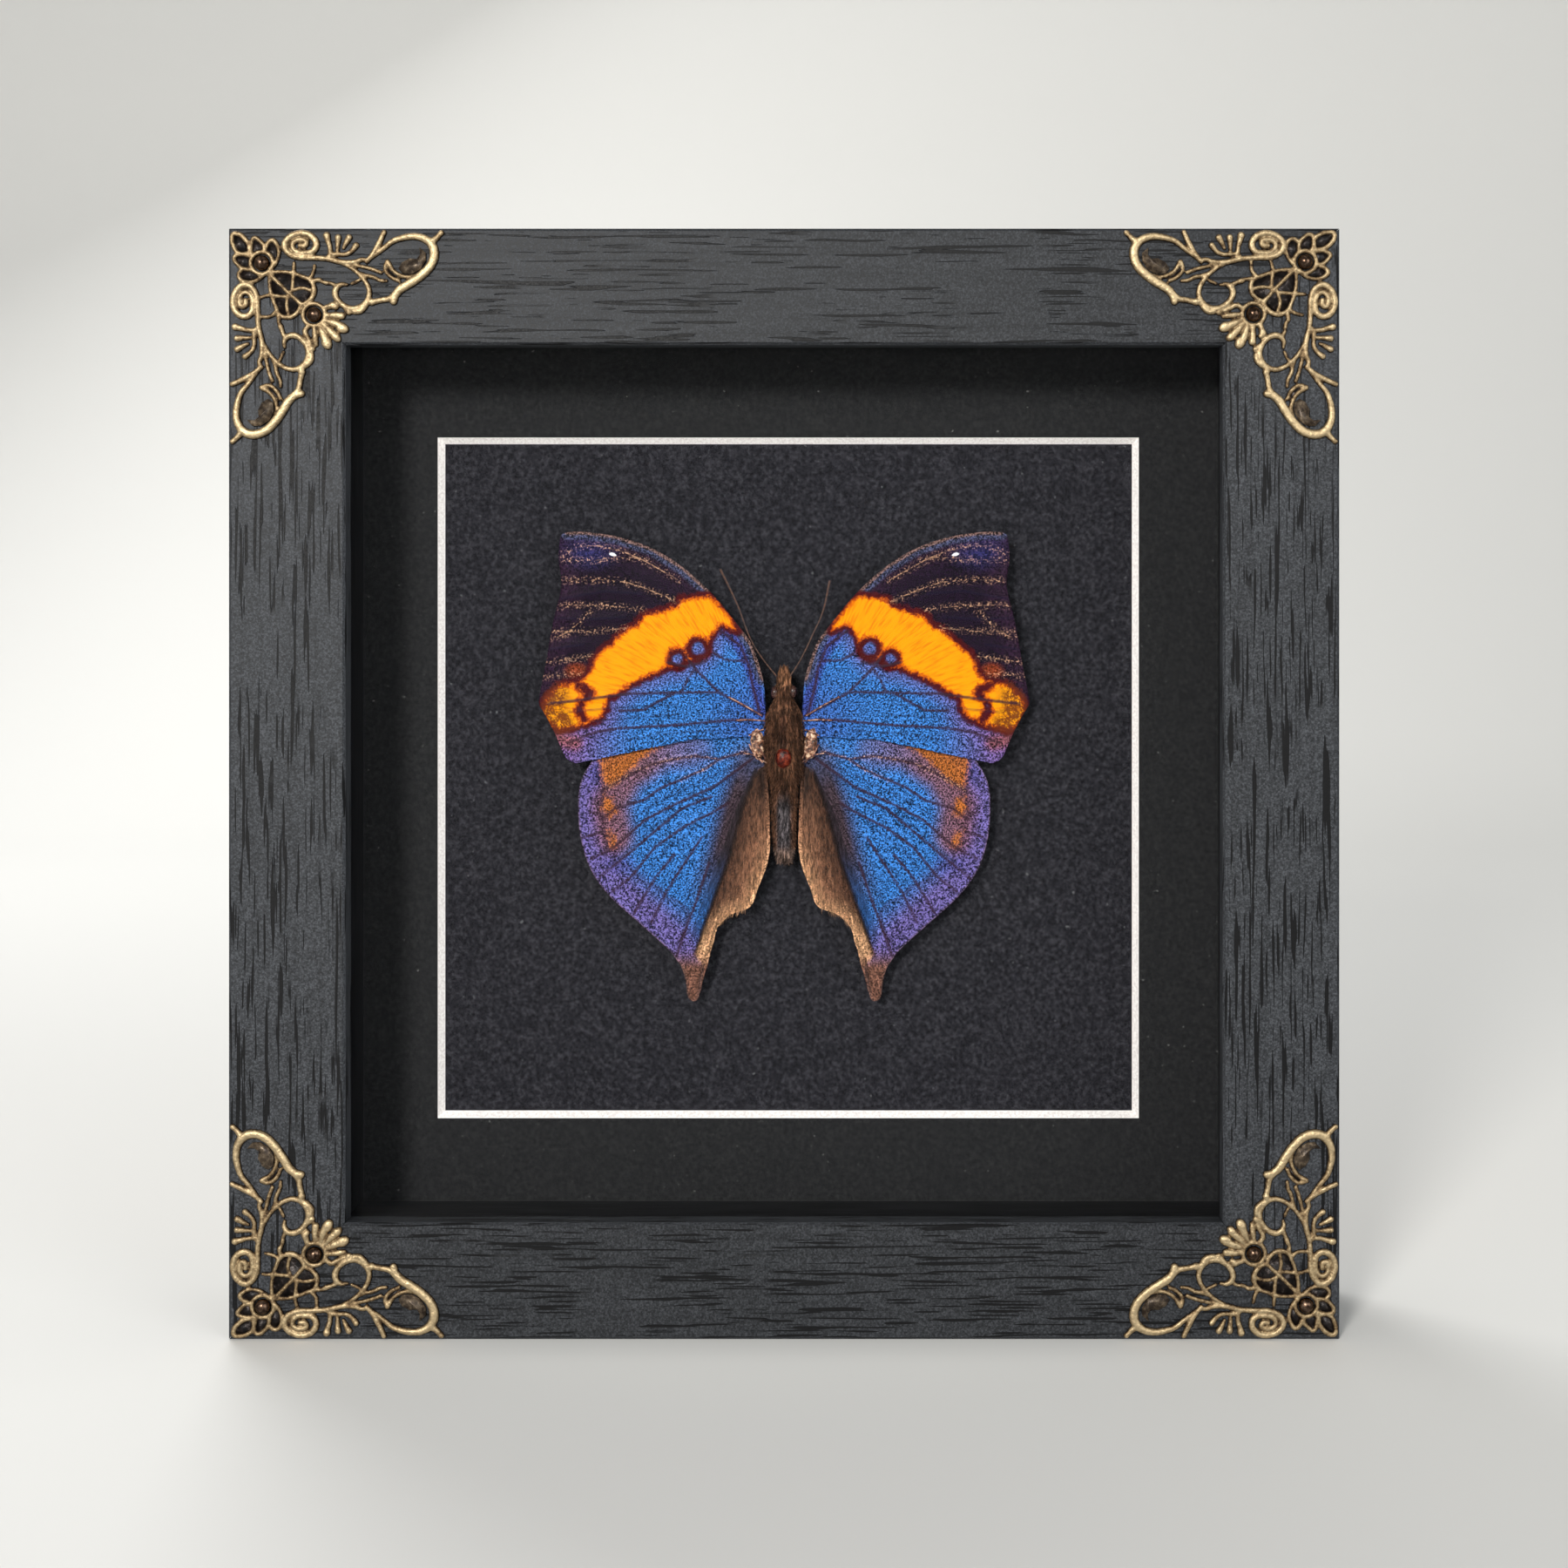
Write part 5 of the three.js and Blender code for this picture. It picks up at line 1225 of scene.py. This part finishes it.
def fold_hair_route(side):
    """One hair's root and tip, or None where its root would miss the fold."""
    up = hair_rng.uniform(*FOLD_REACH)
    downs = [-place[1] for place in ANAL_CREASE]
    crease_out = np.interp(-up, downs, [place[0] for place in ANAL_CREASE])
    out = hair_rng.uniform(3.2, crease_out + 2.0 * min(1, -up / 20))
    if depth_inside(np.array([(out, up)]), HINDWING_OUTLINE)[0] < 0.6:
        return None
    way = Vector((out - HINDWING_ROOT[0], 0, up - HINDWING_ROOT[1])).normalized()
    way.x += hair_rng.uniform(-FOLD_HAIR_TURN, FOLD_HAIR_TURN)
    length = hair_rng.uniform(*FOLD_HAIR_LENGTHS)
    start = Vector((out, FOLD_HAIR_SEAT - wing_bow(math.hypot(out, up)), up))
    tip = start + way * length + Vector((0, -hair_rng.uniform(*FOLD_HAIR_LIFTS), 0))
    return [(SPECIMEN_CENTRE + Vector((side * place.x, place.y, place.z)) * MM, radius * MM)
            for place, radius in zip((start, tip), FOLD_HAIR_RADII)]


def specimen_places(mesh):
    """Each point of a mesh, in millimetres from the specimen's centre."""
    places = np.empty(len(mesh.vertices) * 3, np.float32)
    mesh.vertices.foreach_get("co", places)
    return (places.reshape(-1, 3) - np.array(SPECIMEN_CENTRE)) / MM


fold_hair = hair_material()
for side_name, side in (("left", -1), ("right", 1)):
    hairs = []
    while len(hairs) < FOLD_HAIRS:
        route = fold_hair_route(side)
        if route:
            hairs.append(route)
    mesh = round_wires(hairs, bevel=0, smooth=0)
    mesh.name = f"{side_name}_fold_hairs"
    places = specimen_places(mesh)
    points = np.column_stack([np.abs(places[:, 0]), places[:, 2]])
    margin = np.abs(depth_inside(points, HINDWING_OUTLINE))
    store_ground(mesh, hindwing_fields(points, margin)["ground"])
    mesh.materials.append(fold_hair)
    fur = place_piece(mesh)
    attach(fur, "root")


# Wing roots: glossy cream plates with rough faces, and thin copper tendons, where the wings grow out of the
# thorax. Their palest flecks are painted glints.
TENDONS = [
    [(6.6, 2.6), (5.4, 0.5), (3.2, -1.0)],
    [(7.6, 0.9), (5.4, 0.4), (4.0, -0.9)],
    [(4.9, 2.4), (3.4, -0.2)],
    [(3.6, 7.0), (6.4, 7.2), (9.0, 7.1)],
    [(4.2, 8.0), (7.4, 9.9), (10.4, 11.5)],
    [(3.8, 5.4), (5.6, 4.8), (6.6, 4.2)],
]
TENDON_RADIUS = 0.13
TENDON_FRONT = -0.62
PLATE_SIZE = (1.25, 0.55, 2.9)
PLATE_PLACE = (5.0, -0.1, 2.7)
PLATE_LEAN = 0.12
# the pale top of each ramp is a painted glint on the wing roots
CREAM_AND_GLINTS = [(0.42, srgb(58, 36, 26)), (0.52, srgb(142, 88, 60)), (0.64, srgb(232, 198, 166))]
COPPER_AND_GLINTS = [(0.42, srgb(70, 34, 26)), (0.52, srgb(150, 96, 76)), (0.64, srgb(214, 170, 146))]

cream_plate = mottled("wing_root_plate", CREAM_AND_GLINTS, (1300, 3, 0.6), 0.3, bump=(0.8, 0.0005))
copper_tendon = mottled("wing_tendon", COPPER_AND_GLINTS, (1300, 3, 0.6), 0.35, bump=(0.8, 0.0005))
for side_name, side in (("left", -1), ("right", 1)):
    bm = bmesh.new()
    plate = bmesh.ops.create_icosphere(bm, subdivisions=5, radius=MM)["verts"]
    for vert in plate:
        rough = noise.noise(vert.co * 1900 + Vector((side * 3, 0, 0))) + 0.5 * noise.noise(vert.co * 4200)
        vert.co = Vector([place * size for place, size in zip(vert.co, PLATE_SIZE)]) * (1 + 0.16 * rough)
    lean = Matrix.Rotation(side * PLATE_LEAN, 3, "Y")
    bmesh.ops.rotate(bm, verts=plate, cent=(0, 0, 0), matrix=lean)
    out, front, up = PLATE_PLACE
    bmesh.ops.translate(bm, verts=plate, vec=SPECIMEN_CENTRE + Vector((side * out, front, up)) * MM)
    plate_faces = len(bm.faces)
    routes = []
    for line in TENDONS:
        routes.append([(SPECIMEN_CENTRE + Vector((side * out, TENDON_FRONT, up)) * MM, TENDON_RADIUS * MM)
                       for out, up in line])
    bm.from_mesh(round_wires(routes))
    bm.faces.ensure_lookup_table()
    for face in bm.faces[plate_faces:]:
        face.material_index = 1
    wing_root = place_piece(finished_mesh(bm, f"{side_name}_wing_root", cream_plate, copper_tendon))
    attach(wing_root, "root")


# Body: head with two palps in a point, dark glossy eyes, hairy thorax and a ringed abdomen, dried and
# stiff. Sections run from the tail to the head: up from the thorax, half width, half depth.
BODY_SECTIONS = [(-20.1, 0.1, 0.1), (-19.6, 0.7, 0.7), (-18.6, 0.95, 1.0), (-17, 1.35, 1.4),
                 (-15, 1.6, 1.7), (-12, 1.75, 1.9), (-9, 1.8, 2.0), (-6.5, 1.6, 1.8), (-4.6, 1.4, 1.6),
                 (-3, 1.8, 2.0), (-1.4, 2.4, 2.5), (2, 2.8, 2.9), (6, 2.85, 2.9), (9, 2.7, 2.5),
                 (10.2, 2.25, 1.95), (11.2, 1.7, 1.75), (12.4, 1.75, 1.7), (13.6, 1.5, 1.5),
                 (14.6, 1.05, 1.2), (15.6, 0.75, 0.95), (16.8, 0.45, 0.6), (17.7, 0.1, 0.12)]
TAIL_DROOP = 1.6
DROOP_START = -6
DROOP_RUN = 14
RINGED_PART = (-18.5, -5)
RING_SPACING = 1.9
RING_GROOVE = 0.06
BODY_SIDES = 28
BODY_RINGS = 150
HAIR_COUNT = 7000
EYE_PLACES = [(-1.72, 12.3), (1.72, 12.5)]
EYE_RADIUS = 0.98
EYE_FRONT = -0.7
LUMP_RADIUS = 1.9
BODY_HAIR_RADII = (0.1, 0.015)
BODY_HAIR_LENGTHS = (0.8, 2.4)
HAIRY_PART = (-19.4, 16.4)
HAIR_SPREAD = 1.9


def body_size(up):
    heights = [section[0] for section in BODY_SECTIONS]
    return (np.interp(up, heights, [section[1] for section in BODY_SECTIONS]),
            np.interp(up, heights, [section[2] for section in BODY_SECTIONS]))


def body_droop(up):
    share = min(1, max(0, (DROOP_START - up) / DROOP_RUN))
    return TAIL_DROOP * share * share


def body_place(angle, up, lift=0.0):
    """A point on the body's skin, in metres; angle 0 faces the front."""
    width, depth = body_size(up)
    ring = 1
    if RINGED_PART[0] < up < RINGED_PART[1]:
        ring -= RING_GROOVE * max(0.0, math.cos(up * 2 * math.pi / RING_SPACING))
    return SPECIMEN_CENTRE + Vector((math.sin(angle) * (width * ring + lift),
                                     body_droop(up) - math.cos(angle) * (depth * ring + lift), up)) * MM


def hairy_brown():
    material, tree, shader = start_material("insect_body", 0.65, specular=0.08)
    point = object_point(tree, (1, 1, 0.22))
    streak = add_noise(tree, point, 2200, 4, 0.75)
    fleck = add_ramp(tree, streak, [(0.38, 0.2), (0.5, 0.85), (0.62, 3.0)])
    tufts = add_ramp(tree, add_noise(tree, point, 700, 3, 0.6), [(0.4, 0.6), (0.6, 1.6)])
    fur = multiplied(tree, read_field(tree, "ground", "Color"), fleck)
    tree.links.new(multiplied(tree, fur, tufts), shader.inputs["Base Color"])
    add_bump(tree, shader, streak, 0.7, 0.0003)
    return material


def body_skin():
    """The closed skin of head, thorax and abdomen."""
    bm = bmesh.new()
    bmesh.ops.create_circle(bm, segments=BODY_SIDES, radius=1)
    rings = [bm.verts[:]]
    edges = bm.edges[:]
    for step in range(BODY_RINGS):
        grown = bmesh.ops.extrude_edge_only(bm, edges=edges)["geom"]
        rings.append([item for item in grown if isinstance(item, bmesh.types.BMVert)])
        edges = [item for item in grown if isinstance(item, bmesh.types.BMEdge)]
    tail, head = BODY_SECTIONS[0][0], BODY_SECTIONS[-1][0]
    for number, ring in enumerate(rings):
        up = tail + (head - tail) * number / BODY_RINGS
        for vert in ring:
            vert.co = body_place(math.atan2(vert.co.x, vert.co.y), up)
    bmesh.ops.holes_fill(bm, edges=[edge for edge in bm.edges if edge.is_boundary])
    bmesh.ops.recalc_face_normals(bm, faces=bm.faces)
    return bm


def body_hairs():
    rng = random.Random(11)
    hairs = []
    while len(hairs) < HAIR_COUNT:
        up = rng.uniform(*HAIRY_PART)
        angle = rng.uniform(-HAIR_SPREAD, HAIR_SPREAD)
        on_lump = -1.6 < up < 4.0 and abs(angle) < 0.55
        on_rings = -17.5 < up < -8.0 and abs(angle) < 0.75 and rng.random() < 0.85
        on_eye = 11.2 < up < 13.8 and abs(angle) > 0.75
        if on_lump or on_rings or on_eye:
            continue
        start = body_place(angle, up)
        length = rng.uniform(*BODY_HAIR_LENGTHS) * (0.6 if up > 10 or up < -8 else 1) * MM
        turn = angle + rng.uniform(-0.35, 0.35)
        way = Vector((math.sin(turn) * 0.7, -math.cos(turn) * 0.42, -1)).normalized()
        if up > 14:
            way = Vector((math.sin(turn) * 0.12, -math.cos(turn) * 0.2, 1)).normalized()
        thick, thin = BODY_HAIR_RADII
        hairs.append([(start, thick * MM), (start + way * length, thin * MM)])
    return round_wires(hairs, bevel=0, smooth=0)


def body_ground(mesh):
    """Brown, with a painted grey sheen along the top of the abdomen's rings, paler at the palps, and painted
    shade down the middle of the thorax.
    """
    places = specimen_places(mesh)
    outs, ups = np.abs(places[:, 0]), places[:, 2]
    skin = np.tile(np.array(srgb(77, 51, 36)[:3]), (len(ups), 1))
    # painted sheen: greyer along the top of the abdomen's rings
    skin = paint(skin, fade(np.abs(ups + 12.5), 3.5, 6.5) * fade(outs, 0.9, 1.6), srgb(74, 68, 70))
    skin = paint(skin, fade(np.abs(ups + 19), 1.0, 2.0) * 0.6, srgb(108, 92, 84))
    skin = paint(skin, fade(np.abs(ups - 15.6), 0.8, 2.4) * 0.6, srgb(120, 84, 60))
    # painted shade down the middle groove of the thorax
    return paint(skin, fade(np.abs(ups - 5), 2, 5) * fade(outs, 0.3, 0.9) * 0.4, srgb(60, 36, 30))


EYE_TONES = [(0.35, srgb(30, 18, 16)), (0.65, srgb(84, 56, 48))]
LUMP_TONES = [(0.38, srgb(34, 8, 6)), (0.55, srgb(94, 28, 14)), (0.7, srgb(140, 60, 34))]
eye_material = mottled("dark_eye", EYE_TONES, (5200, 1, 0.5), 0.18)
lump_material = mottled("red_brown_lump", LUMP_TONES, (1500, 3, 0.6), 0.3, specular=0.2, bump=(0.5, 0.0003))
bm = body_skin()
skin_faces = len(bm.faces)
for eye_out, eye_up in EYE_PLACES:
    eye = bmesh.ops.create_icosphere(bm, subdivisions=4, radius=EYE_RADIUS * MM)["verts"]
    bmesh.ops.scale(bm, verts=eye, vec=(0.8, 1, 1.25))
    bmesh.ops.translate(bm, verts=eye, vec=SPECIMEN_CENTRE + Vector((eye_out, EYE_FRONT, eye_up)) * MM)
eye_faces = len(bm.faces)
lump = bmesh.ops.create_icosphere(bm, subdivisions=4, radius=LUMP_RADIUS * MM)["verts"]
bmesh.ops.scale(bm, verts=lump, vec=(0.8, 0.5, 1))
bmesh.ops.translate(bm, verts=lump, vec=body_place(0, 0.1, -0.1))
lump_faces = len(bm.faces)
bm.from_mesh(body_hairs())
bmesh.ops.recalc_face_normals(bm, faces=bm.faces)
for number, face in enumerate(bm.faces):
    if skin_faces <= number < eye_faces:
        face.material_index = 1
    elif eye_faces <= number < lump_faces:
        face.material_index = 2
mesh = finished_mesh(bm, "hairy_body", hairy_brown(), eye_material, lump_material)
store_ground(mesh, body_ground(mesh))
body = place_piece(mesh)
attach(body, "root")
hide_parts("butterfly_body")


# Antennae: two stiff dark threads of chitin that grow from the head and end in a slight club. Their
# points run out, forward and up.
ANTENNAE = {
    "left": [(-1.3, 1.4, 15.4), (-4, 1.5, 18.8), (-6, 1.6, 22), (-8.7, 1.6, 28.9), (-11.9, 1.6, 35.6)],
    "right": [(1.2, 1.4, 15.4), (3.2, 1.5, 18.6), (5.6, 1.6, 23.6), (7.3, 1.6, 27.4), (8.7, 1.6, 33.5)],
}
ANTENNA_RADII = [0.14, 0.13, 0.12, 0.13, 0.2]
CHITIN = [(0.35, srgb(36, 22, 18)), (0.65, srgb(104, 66, 46))]

chitin_material = mottled("antenna_chitin", CHITIN, (2600, 2, 0.6), 0.35, bump=(0.4, 0.0001))
for side_name, route in ANTENNAE.items():
    knots = [(SPECIMEN_CENTRE + Vector((out, -front, up)) * MM, radius * MM)
             for (out, front, up), radius in zip(route, ANTENNA_RADII)]
    mesh = round_wires([knots], smooth=16)
    mesh.name = f"{side_name}_antenna_thread"
    mesh.materials.append(chitin_material)
    antenna = place_piece(mesh)
    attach(antenna, "root")
    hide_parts(f"{side_name}_antenna")


# Pad: a small piece of cork, cut square and glued between the thorax and the board. It carries the
# whole butterfly.
CORK = [(0.35, srgb(120, 82, 50)), (0.55, srgb(178, 134, 92)), (0.7, srgb(204, 164, 120))]
dress("specimen_pad", mottled("cork", CORK, (1200, 4, 0.7), 0.9, bump=(0.5, 0.0002)))
